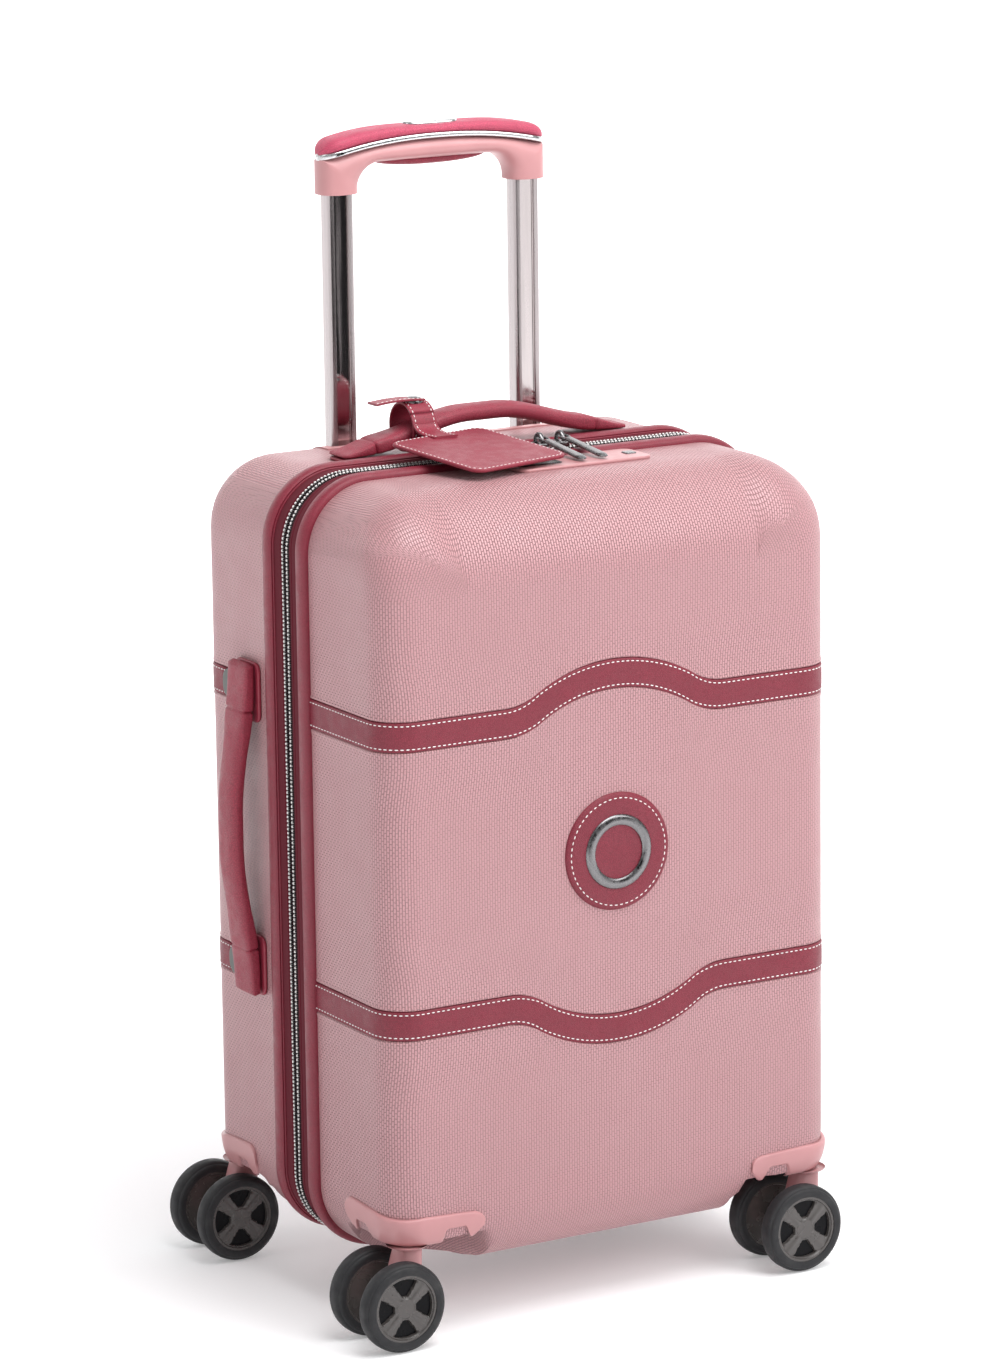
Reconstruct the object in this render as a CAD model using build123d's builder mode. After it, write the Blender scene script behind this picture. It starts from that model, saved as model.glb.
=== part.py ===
from build123d import *
import math
import os

# A hard shell cabin suitcase on four double casters.
# Origin: on the floor, midway between the four caster stems.  +Z is up, the front shell faces -Y,
# the side carry handle is on -X and the two halves hinge along +X.  Millimetres.

os.makedirs("parts", exist_ok=True)

# ---------------------------------------------------------------- driving dimensions
shell_width = 338.0        # over the two side walls
shell_bottom = 39.0        # height of the belly above the floor
shell_top = 545.5          # height of the top wall above the floor
front_depth = 124.5        # from the origin to the front wall
back_depth = 124.5         # from the origin to the back wall
wall = 2.6                 # shell sheet
corner_radius = 45.0       # outline corners, seen from the front
top_front_radius = 58.0    # roll of the top wall into the front wall
bottom_front_radius = 40.0
back_edge_radius = 31.0    # top and bottom walls into the back wall
side_edge_radius = 24.0    # side walls into the front and back walls

overshoot = 10.0           # how far a cut runs past the faces it opens

zip_y = 1.0                # closing plane
body_gap = 0.3             # between faces of pieces that move apart
coil_width = 5.5           # one half of the zip coil, across
coil_proud = 2.2
coil_rounding = 0.8
tape_width = 10.5          # from the coil to the piping
tape_proud = 1.0
tape_thickness = 2.6
piping_width = 12.5
piping_proud = 4.5
piping_rounding = 4.0
hinge_clearance = 0.5      # hinge line outside the piping

band_height = 19.2
band_proud = 0.5
band_groove = 1.5
upper_band_z = 398.6       # middle of the band where it runs straight
lower_band_z = 210.7
wave_rise = 23.5           # the bands bow away from the badge
wave_half = 82.0           # half the length of the bow
wave_arc_half = 58.0       # the part of it that is one broad arc

badge_z = 305.0
badge_radius = 39.0
badge_thickness = 2.4
ring_outer = 24.7
ring_inner = 17.8
ring_thickness = 1.8

lining_gap = 0.4
lining_thickness = 1.0
strap_width = 25.0
strap_thickness = 1.5

stem_x = 152.6             # caster stems
stem_y = 112.1
stem_radius = 5.0
running_fit = 0.05
wheel_radius = 29.5
wheel_width = 13.5
wheel_span = 53.0          # over the two outer faces
tyre_depth = 6.8
tyre_shoulder = 3.0
axle_radius = 3.0
trail = 15.6
fork_width = 17.0
well_clearance = 3.0       # round the swept circle of a turning caster
guard_gap = 3.5            # over the wheels
guard_plate = 3.5
guard_height = 24.0
guard_proud = 2.4
guard_reach = 52.0         # along each wall, from the stem
guard_corner = 20.0
boss_radius = 10.0
boss_height = 20.0

tube_x = 70.9              # pull handle
tube_y = 104.9
tube_size_x = 19.0         # inner tube
tube_size_y = 12.0
tube_wall = 1.5
tube_gap = 0.35
tube_corner = 2.5
tube_bore_corner = 1.0
tube_low = 76.0
collar_z = 712.0           # underside of the grip's collars, pulled out as it stands
pull_down = 203.0
grip_half = 84.8
grip_depth = 26.0
grip_leg = 27.0
grip_top = 754.5
grip_shoulder_z = 737.0
grip_bar_low = 730.5
trim_height = 4.6
cover_height = 7.0
button_length = 40.0
button_width = 15.0
pocket_clearance = 0.8
pocket_depth = 48.0
bezel_wall = 2.5
bezel_flange = 3.5
bezel_proud = 1.0

top_handle_y = 44.5        # carry handle on the top wall
top_handle_half = 108.0
top_handle_width = 24.0
top_handle_thickness = 11.0
top_handle_rise = 15.0
top_handle_bow = 88.0      # half the length of its bow
top_handle_arc = 60.0
mount_length = 40.0
mount_thickness = 2.5
handle_pull = 8.0          # how far a carry handle draws out of its mounts
post_radius = 3.0

side_handle_y = 56.0       # carry handle on the side wall
side_handle_z = 307.0
side_handle_half = 112.0
side_handle_width = 30.0
side_handle_thickness = 10.0
side_handle_rise = 8.5
side_handle_bow = 92.0
side_handle_arc = 60.0
handle_rounding = 3.6      # long edges of both carry handles

lock_x = 20.0              # lock on the front half of the top wall
lock_length = 100.0
lock_width = 34.0
lock_proud = 2.0
lock_sink = 11.0
dial_radius = 5.8
dial_width = 6.0
dial_pitch = 11.0
lock_button_size = 8.0
lock_button_travel = 3.0

slider_left_x = 20.0
slider_right_x = 36.0
slider_length = 11.0
slider_width = 12.0
slider_height = 4.2
pull_length = 58.0
pull_width = 7.0
pull_thickness = 2.6
pull_corner = 3.4
pull_slope = 6.2           # degrees below level, lying on the lock
pull_pin_radius = 1.3

tag_x = -50.0              # luggage tag, hung on the top handle
tag_width = 84.0
tag_length = 85.0
tag_thickness = 2.4
tag_corner = 9.0
tag_tilt = 5.8
tag_turn = 14.0
tag_strap_width = 18.0
tag_strap_thickness = 1.8
tag_loop_radius = 14.8

guard_rounding = 2.0
notch_length = 16.0        # finger-sized reliefs under the guard's two wings
notch_depth = 8.0
notch_height = 5.0
notch_offset = 6.0
neck_gap = 0.5
neck_low = 46.0
neck_radius = 8.5
neck_rounding = 3.0
axle_boss_radius = 9.0
rim_recess = 0.8
rim_lip = 2.2
hub_radius = 6.5
spoke_recess = 1.6
spoke_width = 9.0
window_outer = 18.6
window_inner = 8.2
window_depth = 8.0
axle_seat = 6.0

badge_rounding = 1.6

middle_lift = 3.0          # tubes end this far above the one outside them
groove_width = 9.0
groove_depth = 0.5
foot_height = 12.0
foot_margin = 4.0
foot_web = 3.0
grip_turn = 17.0           # rounded shoulders of the grip
grip_turn_rise = 0.62      # of the height from shoulder to crown
grip_turn_swell = 0.72
grip_inner_radius = 14.0
button_travel = 2.5
button_proud = 1.0

mount_margin = 2.0
mount_corner = 4.0
post_height = 8.6
band_end_gap = -4.0         # the side bands stop this far past the side handle's width
end_plate_gap = 1.5
end_plate_length = 11.0
end_plate_corner = 4.0
end_plate_thickness = 1.2

tag_loop_drop = 5.0        # below the handle's crown, where the tag hangs
tag_loop_gap = 10.0
tag_card_drop = 2.0
tag_tab_length = 24.0
tag_tab_back = 12.0
snap_radius = 6.0
snap_height = 1.6

lock_rim = 3.0
lock_corner = 5.0
lock_floor = 1.5
lock_button_margin = 9.0
lock_button_depth = 3.0
lock_button_proud = 0.8
dial_margin = 10.0
dial_proud = 0.7
dial_pin_radius = 1.4

slider_corner = 3.0
pull_eye_radius = 3.0
cheek_thickness = 1.4

gusset_margin = 80.0
gusset_thickness = 1.0
strap_spread = 95.0
strap_margin = 50.0
buckle_length = 34.0
buckle_margin = 8.0
buckle_thickness = 5.0

# ---------------------------------------------------------------- worked out from them
half_width = shell_width / 2
shell_height = shell_top - shell_bottom
middle_z = (shell_top + shell_bottom) / 2
rim = coil_width + tape_width          # shell edge, from the closing plane
piping_edge = rim + piping_width
hinge_x = half_width + piping_proud + hinge_clearance
swept_radius = math.hypot(trail + wheel_radius, wheel_span / 2)
well_radius = swept_radius + well_clearance
guard_z = 2 * wheel_radius + guard_gap
well_top = guard_z + guard_plate
depth = {-1: front_depth + zip_y, 1: back_depth - zip_y}
pocket_x = 2 * (grip_half + pocket_clearance)
pocket_y = grip_depth + 2 * pocket_clearance
bezel_x = pocket_x + 2 * bezel_wall
bezel_y = pocket_y + 2 * bezel_wall
inner_size = [tube_size_x, tube_size_y]
middle_size = [length + 2 * (tube_gap + tube_wall) for length in inner_size]
outer_size = [length + 2 * (tube_gap + tube_wall) for length in middle_size]
lining_y = tube_y - outer_size[1] / 2 - lining_gap   # back lining's flat wall, inside the tubes
lock_y = zip_y - piping_edge - lock_width / 2
corners = {
    "front_left": (-stem_x, -stem_y),
    "front_right": (stem_x, -stem_y),
    "back_left": (-stem_x, stem_y),
    "back_right": (stem_x, stem_y),
}


def half_block(side, inset=0.0, wells=True):
    """One half of the case as a closed block, from the closing plane, its walls moved in by inset.

    side is -1 for the front half and +1 for the back half.  The block is where three rounded
    outlines meet: seen from the front, from the side and from above.
    """
    reach = depth[side] - inset
    top_radius = top_front_radius if side < 0 else back_edge_radius
    low_radius = bottom_front_radius if side < 0 else back_edge_radius
    with BuildPart() as block:
        with BuildSketch(Plane.XZ.offset(-zip_y)):
            with Locations((0, middle_z)):
                RectangleRounded(
                    shell_width - 2 * inset, shell_height - 2 * inset, corner_radius - inset
                )
        extrude(amount=-side * reach)
        with BuildSketch(Plane.YZ):
            with BuildLine():
                open_side = FilletPolyline(
                    (zip_y, shell_bottom + inset),
                    (zip_y + side * reach, shell_bottom + inset),
                    (zip_y + side * reach, shell_top - inset),
                    (zip_y, shell_top - inset),
                    radius=[low_radius - inset, top_radius - inset],
                )
                Line(open_side @ 1, open_side @ 0)
            make_face()
        extrude(amount=half_width + overshoot, both=True, mode=Mode.INTERSECT)
        with BuildSketch(Plane.XY.offset(shell_bottom - overshoot)):
            with BuildLine():
                open_end = FilletPolyline(
                    (-half_width + inset, zip_y),
                    (-half_width + inset, zip_y + side * reach),
                    (half_width - inset, zip_y + side * reach),
                    (half_width - inset, zip_y),
                    radius=side_edge_radius - inset,
                )
                Line(open_end @ 1, open_end @ 0)
            make_face()
        extrude(amount=shell_height + 2 * overshoot, mode=Mode.INTERSECT)
        if wells:
            with BuildSketch(Plane.XY.offset(shell_bottom)):
                with Locations((-stem_x, side * stem_y), (stem_x, side * stem_y)):
                    Circle(well_radius + inset)
            extrude(amount=well_top + inset - shell_bottom, mode=Mode.SUBTRACT)
    return block.part


def hoop_part(side, near, far, grow_in, grow_out, rounding=0.0):
    """A closed hoop round the case between two distances from the closing plane and two outsets."""
    with BuildPart() as hoop:
        with BuildSketch(Plane.XZ.offset(-zip_y - side * near)):
            with Locations((0, middle_z)):
                for grow, mode in ((grow_out, Mode.ADD), (grow_in, Mode.SUBTRACT)):
                    size = (shell_width + 2 * grow, shell_height + 2 * grow)
                    RectangleRounded(*size, corner_radius + grow, mode=mode)
        extrude(amount=-side * (far - near))
        if rounding:
            rims = [face.outer_wire().edges() for face in hoop.faces().filter_by(Axis.Y)]
            fillet([edge for rim_edges in rims for edge in rim_edges], rounding)
    return hoop.part


def bow_line(mid, rise, half, arc_half, reach):
    """Straight ends and a bow between them, drawn in the line context of the caller.

    The bow is one broad arc with a fillet at each end, all tangent: where they meet the slope is
    twice the angle whose tangent is rise over half, and their radii add up to half over its sine.
    """
    slope = 2 * math.atan2(abs(rise), half)
    foot = (half - arc_half) / math.sin(slope)
    up = math.copysign(1, rise)
    join = mid + up * foot * (1 - math.cos(slope))
    foot_x = foot * math.sin(slope / 2)
    foot_z = mid + up * foot * (1 - math.cos(slope / 2))
    Line((-reach, mid), (-half, mid))
    ThreePointArc((-half, mid), (-half + foot_x, foot_z), (-arc_half, join))
    ThreePointArc((-arc_half, join), (0, mid + rise), (arc_half, join))
    ThreePointArc((arc_half, join), (half - foot_x, foot_z), (half, mid))
    Line((half, mid), (reach, mid))


def band_strip(side, mid_z, rise):
    """A band seen from the front, as a bar that runs through the whole depth of one half."""
    with BuildPart() as bar:
        with BuildSketch(Plane.XZ.offset(-zip_y)):
            with BuildLine():
                bow_line(mid_z, rise, wave_half, wave_arc_half, half_width + overshoot)
            trace(line_width=band_height)
        extrude(amount=-side * (depth[side] + overshoot))
    return bar.part


def bore_of(size):
    """Inside measures of a tube that measures size outside."""
    return [length - 2 * tube_wall for length in size]


def write(part, label):
    """Name a finished piece and save it."""
    part.label = label
    export_step(part, f"parts/{label}.step")


# ---------------------------------------------------------------- shells, lining, zip, bands
side_names = {-1: "front", 1: "back"}
outline_blocks = {side: half_block(side) for side in side_names}
for side, name in side_names.items():
    inner_block = half_block(side, wall)
    lining_outer = half_block(side, wall + lining_gap)
    lining_inner = half_block(side, wall + lining_gap + lining_thickness)
    grown = half_block(side, -band_proud, wells=False)
    shrunk = half_block(side, band_groove, wells=False)
    strips = {
        "upper": band_strip(side, upper_band_z, wave_rise),
        "lower": band_strip(side, lower_band_z, -wave_rise),
    }
    rim_y = zip_y + side * rim
    piping_y = zip_y + side * piping_edge

    with BuildPart() as bands_region:
        for strip in strips.values():
            add(strip)
        add(grown, mode=Mode.INTERSECT)
        add(shrunk, mode=Mode.SUBTRACT)
        split(bisect_by=Plane.XZ.offset(-piping_y), keep=Keep.BOTTOM if side > 0 else Keep.TOP)
        if side > 0:
            with BuildSketch(Plane.YZ.offset(-half_width - band_proud)):
                with Locations(((zip_y + side_handle_y + side_handle_width + band_end_gap) / 2, middle_z)):
                    Rectangle(side_handle_y + side_handle_width + band_end_gap - zip_y, shell_height)
            extrude(amount=half_width, mode=Mode.SUBTRACT)
    bands_part = bands_region.part

    with BuildPart() as shell:
        add(outline_blocks[side])
        add(inner_block, mode=Mode.SUBTRACT)
        split(bisect_by=Plane.XZ.offset(-rim_y), keep=Keep.BOTTOM if side > 0 else Keep.TOP)
        add(bands_part, mode=Mode.SUBTRACT)
        with BuildSketch(Plane.XY.offset(guard_z)):
            with Locations((-stem_x, side * stem_y), (stem_x, side * stem_y)):
                Circle(boss_radius)
        extrude(amount=boss_height, mode=Mode.SUBTRACT)
        if side > 0:
            with BuildSketch(Plane.XY.offset(shell_top - pocket_depth - bezel_wall)):
                with Locations((0, tube_y)):
                    Rectangle(bezel_x, bezel_y)
            extrude(amount=pocket_depth + overshoot, mode=Mode.SUBTRACT)
        else:
            with BuildSketch(Plane.XY.offset(shell_top - lock_sink)):
                with Locations((lock_x, lock_y)):
                    Rectangle(lock_length - 2 * lock_rim, lock_width - 2 * lock_rim)
            extrude(amount=lock_sink + overshoot, mode=Mode.SUBTRACT)
    write(shell.part, f"{name}_shell")

    for level, strip in strips.items():
        with BuildPart() as band:
            add(bands_part)
            add(strip, mode=Mode.INTERSECT)
        write(band.part, f"{name}_{level}_band")

    with BuildPart() as lining:
        add(lining_outer)
        add(lining_inner, mode=Mode.SUBTRACT)
        split(bisect_by=Plane.XZ.offset(-rim_y), keep=Keep.BOTTOM if side > 0 else Keep.TOP)
        with BuildSketch(Plane.XY.offset(guard_z)):
            with Locations((-stem_x, side * stem_y), (stem_x, side * stem_y)):
                Circle(boss_radius + lining_gap)
        extrude(amount=boss_height + lining_gap, mode=Mode.SUBTRACT)
        if side > 0:
            split(bisect_by=Plane.XZ.offset(-lining_y), keep=Keep.TOP)
            with BuildSketch(Plane.XZ.offset(-lining_y)):
                with Locations((0, middle_z)):
                    Rectangle(shell_width, shell_height)
            extrude(amount=lining_thickness)
            add(lining_outer, mode=Mode.INTERSECT)
            with BuildSketch(Plane.XY.offset(shell_top - pocket_depth - bezel_wall - lining_gap)):
                with Locations((0, tube_y)):
                    Rectangle(bezel_x + 2 * lining_gap, bezel_y + 2 * lining_gap)
            extrude(amount=pocket_depth + overshoot, mode=Mode.SUBTRACT)
        else:
            with BuildSketch(Plane.XY.offset(shell_top - lock_sink - lining_gap)):
                with Locations((lock_x, lock_y)):
                    Rectangle(
                        lock_length - 2 * (lock_rim - lining_gap),
                        lock_width - 2 * (lock_rim - lining_gap),
                    )
            extrude(amount=lock_sink, mode=Mode.SUBTRACT)
    write(lining.part, f"{name}_lining")

    hoops = {
        "piping": (rim, piping_edge, 0, piping_proud, piping_rounding),
        "zip_tape": (coil_width, rim, tape_proud - tape_thickness, tape_proud, 0),
        "zip_teeth": (body_gap / 2, coil_width, tape_proud - tape_thickness, coil_proud, coil_rounding),
    }
    for label, (near, far, grow_in, grow_out, rounding) in hoops.items():
        write(hoop_part(side, near, far, grow_in, grow_out, rounding), f"{name}_{label}")

# ---------------------------------------------------------------- corner guards over the casters
for name, (x, y) in corners.items():
    side = -1 if y < 0 else 1
    face_x = half_width + guard_proud
    face_y = (front_depth if side < 0 else back_depth) + guard_proud
    span_x = guard_reach + face_x - stem_x
    span_y = guard_reach + face_y - stem_y
    toward = math.copysign(1, x)
    with BuildPart() as guard:
        with BuildSketch(Plane.XY.offset(guard_z)):
            RectangleRounded(2 * face_x, 2 * face_y, guard_corner)
            with Locations((toward * (face_x - span_x / 2), side * (face_y - span_y / 2))):
                Rectangle(span_x, span_y, mode=Mode.INTERSECT)
        extrude(amount=guard_height)
        fillet(guard.edges().group_by(Axis.Z)[-1], guard_rounding)
        add(outline_blocks[side], mode=Mode.SUBTRACT)
        notch_in = guard_reach / 2 + notch_offset
        with BuildSketch(Plane.XY.offset(guard_z)):
            with Locations((toward * (stem_x - notch_in), side * face_y)):
                Rectangle(notch_length, notch_depth)
            with Locations((toward * face_x, side * (stem_y - notch_in))):
                Rectangle(notch_depth, notch_length)
        extrude(amount=notch_height, mode=Mode.SUBTRACT)
        with BuildSketch(Plane.XY.offset(guard_z)):
            with Locations((x, y)):
                Circle(boss_radius)
        extrude(amount=boss_height)
        with BuildSketch(Plane.XY.offset(guard_z)):
            with Locations((x, y)):
                Circle(stem_radius + running_fit)
        extrude(amount=boss_height - guard_rounding, mode=Mode.SUBTRACT)
    write(guard.part, f"{name}_guard")

# ---------------------------------------------------------------- casters
for name, (x, y) in corners.items():
    neck_top = guard_z - neck_gap
    axle_x = x - trail
    outer_face = wheel_span / 2
    with BuildPart() as fork:
        with BuildSketch(Plane.XZ.offset(-y)):
            with Locations((x, (neck_top + neck_low) / 2)):
                Rectangle(2 * neck_radius, neck_top - neck_low)
            with Locations((axle_x, wheel_radius)):
                Circle(axle_boss_radius)
            make_hull()
        extrude(amount=fork_width / 2, both=True)
        fillet(fork.edges().filter_by(Axis.Z), neck_rounding)
        with BuildSketch(Plane.XY.offset(neck_top)):
            with Locations((x, y)):
                Circle(stem_radius)
        extrude(amount=boss_height - guard_rounding + neck_gap - body_gap)
        with BuildSketch(Plane.XZ.offset(-y)):
            with Locations((axle_x, wheel_radius)):
                Circle(axle_radius + running_fit)
        extrude(amount=fork_width, both=True, mode=Mode.SUBTRACT)
    write(fork.part, f"{name}_fork")

    with BuildPart() as tyres:
        for way in (-1, 1):
            with BuildSketch(Plane.XZ.offset(-y + way * outer_face)):
                with Locations((axle_x, wheel_radius)):
                    Circle(wheel_radius)
                    Circle(wheel_radius - tyre_depth, mode=Mode.SUBTRACT)
            extrude(amount=-way * wheel_width)
        treads = tyres.edges().filter_by(GeomType.CIRCLE)
        treads = treads.filter_by(lambda edge: edge.radius > wheel_radius - tyre_depth / 2)
        fillet(treads, tyre_shoulder)
    write(tyres.part, f"{name}_tyres")

    with BuildPart() as wheels:
        for way in (-1, 1):
            rim_face = Plane.XZ.offset(-y + way * (outer_face - rim_recess))
            with BuildSketch(rim_face):
                with Locations((axle_x, wheel_radius)):
                    Circle(wheel_radius - tyre_depth)
            extrude(amount=-way * (wheel_width - 2 * rim_recess))
            with BuildSketch(rim_face):
                with Locations((axle_x, wheel_radius)):
                    Circle(wheel_radius - tyre_depth - rim_lip)
                    Circle(hub_radius, mode=Mode.SUBTRACT)
            extrude(amount=-way * spoke_recess, mode=Mode.SUBTRACT)
            with BuildSketch(rim_face):
                with Locations((axle_x, wheel_radius)):
                    Circle(window_outer)
                    Circle(window_inner, mode=Mode.SUBTRACT)
                    for turn in (45, 135):
                        Rectangle(2 * wheel_radius, spoke_width, rotation=turn, mode=Mode.SUBTRACT)
            extrude(amount=-way * window_depth, mode=Mode.SUBTRACT)
            with BuildSketch(Plane.XZ.offset(-y + way * (outer_face - wheel_width))):
                with Locations((axle_x, wheel_radius)):
                    Circle(axle_radius)
            extrude(amount=way * axle_seat, mode=Mode.SUBTRACT)
    axle_half = outer_face - wheel_width + axle_seat
    axle = Pos(axle_x, y, wheel_radius) * Rot(90, 0, 0) * Cylinder(axle_radius, 2 * axle_half)
    write(Compound(children=[*wheels.part.solids(), axle.solid()]), f"{name}_wheels")

# ---------------------------------------------------------------- badge
badge_y = front_depth
with BuildPart() as badge_disc:
    with BuildSketch(Plane.XZ.offset(badge_y)):
        with Locations((0, badge_z)):
            Circle(badge_radius)
    extrude(amount=badge_thickness)
    fillet(badge_disc.edges().filter_by(GeomType.CIRCLE).sort_by(Axis.Y)[0], badge_rounding)
write(badge_disc.part, "badge_disc")

with BuildPart() as badge_ring:
    with BuildSketch(Plane.XZ.offset(badge_y + badge_thickness)):
        with Locations((0, badge_z)):
            Circle(ring_outer)
            Circle(ring_inner, mode=Mode.SUBTRACT)
    extrude(amount=ring_thickness)
    fillet(badge_ring.edges().filter_by(GeomType.CIRCLE).group_by(Axis.Y)[0], ring_thickness / 3)
write(badge_ring.part, "badge_ring")

# ---------------------------------------------------------------- pull handle
pocket_floor = shell_top - pocket_depth
tube_places = [(-tube_x, tube_y), (tube_x, tube_y)]

with BuildPart() as outer_tubes:
    with BuildSketch(Plane.XY.offset(tube_low)):
        with Locations(*tube_places):
            RectangleRounded(*outer_size, tube_corner)
            RectangleRounded(*bore_of(outer_size), tube_bore_corner, mode=Mode.SUBTRACT)
    extrude(amount=pocket_floor - bezel_wall - tube_low)
write(outer_tubes.part, "outer_tubes")

with BuildPart() as middle_tubes:
    with BuildSketch(Plane.XY.offset(tube_low + middle_lift)):
        with Locations(*tube_places):
            RectangleRounded(*middle_size, tube_corner)
            RectangleRounded(*bore_of(middle_size), tube_bore_corner, mode=Mode.SUBTRACT)
    extrude(amount=pocket_floor - tube_low - middle_lift)
write(middle_tubes.part, "middle_tubes")

inner_low = tube_low + 2 * middle_lift + pull_down
with BuildPart() as inner_tubes:
    with BuildSketch(Plane.XY.offset(inner_low)):
        with Locations(*tube_places):
            RectangleRounded(*inner_size, tube_corner)
            RectangleRounded(*bore_of(inner_size), tube_bore_corner, mode=Mode.SUBTRACT)
    extrude(amount=collar_z - inner_low)
    with BuildSketch(Plane.XY.offset(inner_low)):
        with Locations(*((px, py - tube_size_y / 2) for px, py in tube_places)):
            Rectangle(groove_width, 2 * groove_depth)
    extrude(amount=collar_z - inner_low, mode=Mode.SUBTRACT)
write(inner_tubes.part, "inner_tubes")

with BuildPart() as tube_foot:
    with BuildSketch(Plane.XY.offset(tube_low - foot_height)):
        with Locations((0, tube_y)):
            Rectangle(2 * (tube_x + foot_margin) + outer_size[0], outer_size[1])
    extrude(amount=foot_height)
    with BuildSketch(Plane.XY.offset(tube_low - foot_height)):
        with Locations((0, tube_y)):
            Rectangle(2 * (tube_x - foot_margin) - outer_size[0], outer_size[1] - foot_margin)
    extrude(amount=foot_height - foot_web, mode=Mode.SUBTRACT)
write(tube_foot.part, "tube_foot")

bezel_cap = half_block(1, -bezel_proud, wells=False)
with BuildPart() as bezel_lip:
    with BuildSketch(Plane.XY.offset(shell_top - back_edge_radius)):
        with Locations((0, tube_y)):
            Rectangle(bezel_x + 2 * bezel_flange, bezel_y + 2 * bezel_flange)
    extrude(amount=back_edge_radius + bezel_proud)
    add(bezel_cap, mode=Mode.INTERSECT)
    add(outline_blocks[1], mode=Mode.SUBTRACT)

with BuildPart() as handle_bezel:
    with BuildSketch(Plane.XY.offset(pocket_floor - bezel_wall)):
        with Locations((0, tube_y)):
            Rectangle(bezel_x, bezel_y)
    extrude(amount=pocket_depth + bezel_wall + bezel_proud)
    add(bezel_cap, mode=Mode.INTERSECT)
    add(bezel_lip.part)
    with BuildSketch(Plane.XY.offset(pocket_floor)):
        with Locations((0, tube_y)):
            Rectangle(pocket_x, pocket_y)
    extrude(amount=pocket_depth + overshoot, mode=Mode.SUBTRACT)
    with BuildSketch(Plane.XY.offset(pocket_floor - bezel_wall)):
        with Locations(*tube_places):
            RectangleRounded(*(size + 2 * tube_gap for size in middle_size), tube_corner)
    extrude(amount=bezel_wall, mode=Mode.SUBTRACT)
write(handle_bezel.part, "handle_bezel")


def grip_layer(drop):
    """The grip seen from the front, filled in below its arched top line, which is lowered by drop."""
    with BuildPart() as layer:
        with BuildSketch(Plane.XZ.offset(-tube_y)):
            with BuildLine():
                shoulder = grip_shoulder_z - drop
                crown = grip_top - drop
                turn_z = shoulder + (crown - shoulder) * grip_turn_rise
                Line((grip_half, collar_z), (-grip_half, collar_z))
                Line((-grip_half, collar_z), (-grip_half, shoulder))
                ThreePointArc(
                    (-grip_half, shoulder),
                    (-grip_half + grip_turn / 4, shoulder + (turn_z - shoulder) * grip_turn_swell),
                    (-grip_half + grip_turn, turn_z),
                )
                ThreePointArc(
                    (-grip_half + grip_turn, turn_z), (0, crown), (grip_half - grip_turn, turn_z)
                )
                ThreePointArc(
                    (grip_half - grip_turn, turn_z),
                    (grip_half - grip_turn / 4, shoulder + (turn_z - shoulder) * grip_turn_swell),
                    (grip_half, shoulder),
                )
                Line((grip_half, shoulder), (grip_half, collar_z))
            make_face()
        extrude(amount=grip_depth / 2, both=True)
    return layer.part


with BuildPart() as grip_opening:
    with BuildSketch(Plane.XZ.offset(-tube_y)):
        inner_x = grip_half - grip_leg
        with BuildLine():
            loop = FilletPolyline(
                (-inner_x, collar_z - overshoot),
                (-inner_x, grip_bar_low),
                (inner_x, grip_bar_low),
                (inner_x, collar_z - overshoot),
                radius=grip_inner_radius,
            )
            Line(loop @ 1, loop @ 0)
        make_face()
    extrude(amount=grip_depth, both=True)

grip_whole = grip_layer(0)
grip_below_cover = grip_layer(cover_height)
grip_below_trim = grip_layer(cover_height + trim_height)
with BuildPart() as grip_body:
    add(grip_below_trim)
    add(grip_opening.part, mode=Mode.SUBTRACT)
write(grip_body.part, "grip_body")

with BuildPart() as grip_trim:
    add(grip_below_cover)
    add(grip_below_trim, mode=Mode.SUBTRACT)
write(grip_trim.part, "grip_trim")

button_low = grip_top - cover_height + button_travel + body_gap
with BuildPart() as grip_cover:
    add(grip_whole)
    add(grip_below_cover, mode=Mode.SUBTRACT)
    with BuildSketch(Plane.XY.offset(grip_top - cover_height)):
        with Locations((0, tube_y)):
            Rectangle(button_length + 2 * body_gap, button_width + 2 * body_gap)
    extrude(amount=cover_height + overshoot, mode=Mode.SUBTRACT)
write(grip_cover.part, "grip_cover")

with BuildPart() as grip_button:
    with BuildSketch(Plane.XY.offset(button_low)):
        with Locations((0, tube_y)):
            RectangleRounded(button_length, button_width, button_width / 4)
    extrude(amount=grip_top + button_proud - button_low)
    fillet(grip_button.edges().group_by(Axis.Z)[-1], button_proud)
write(grip_button.part, "grip_button")

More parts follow.
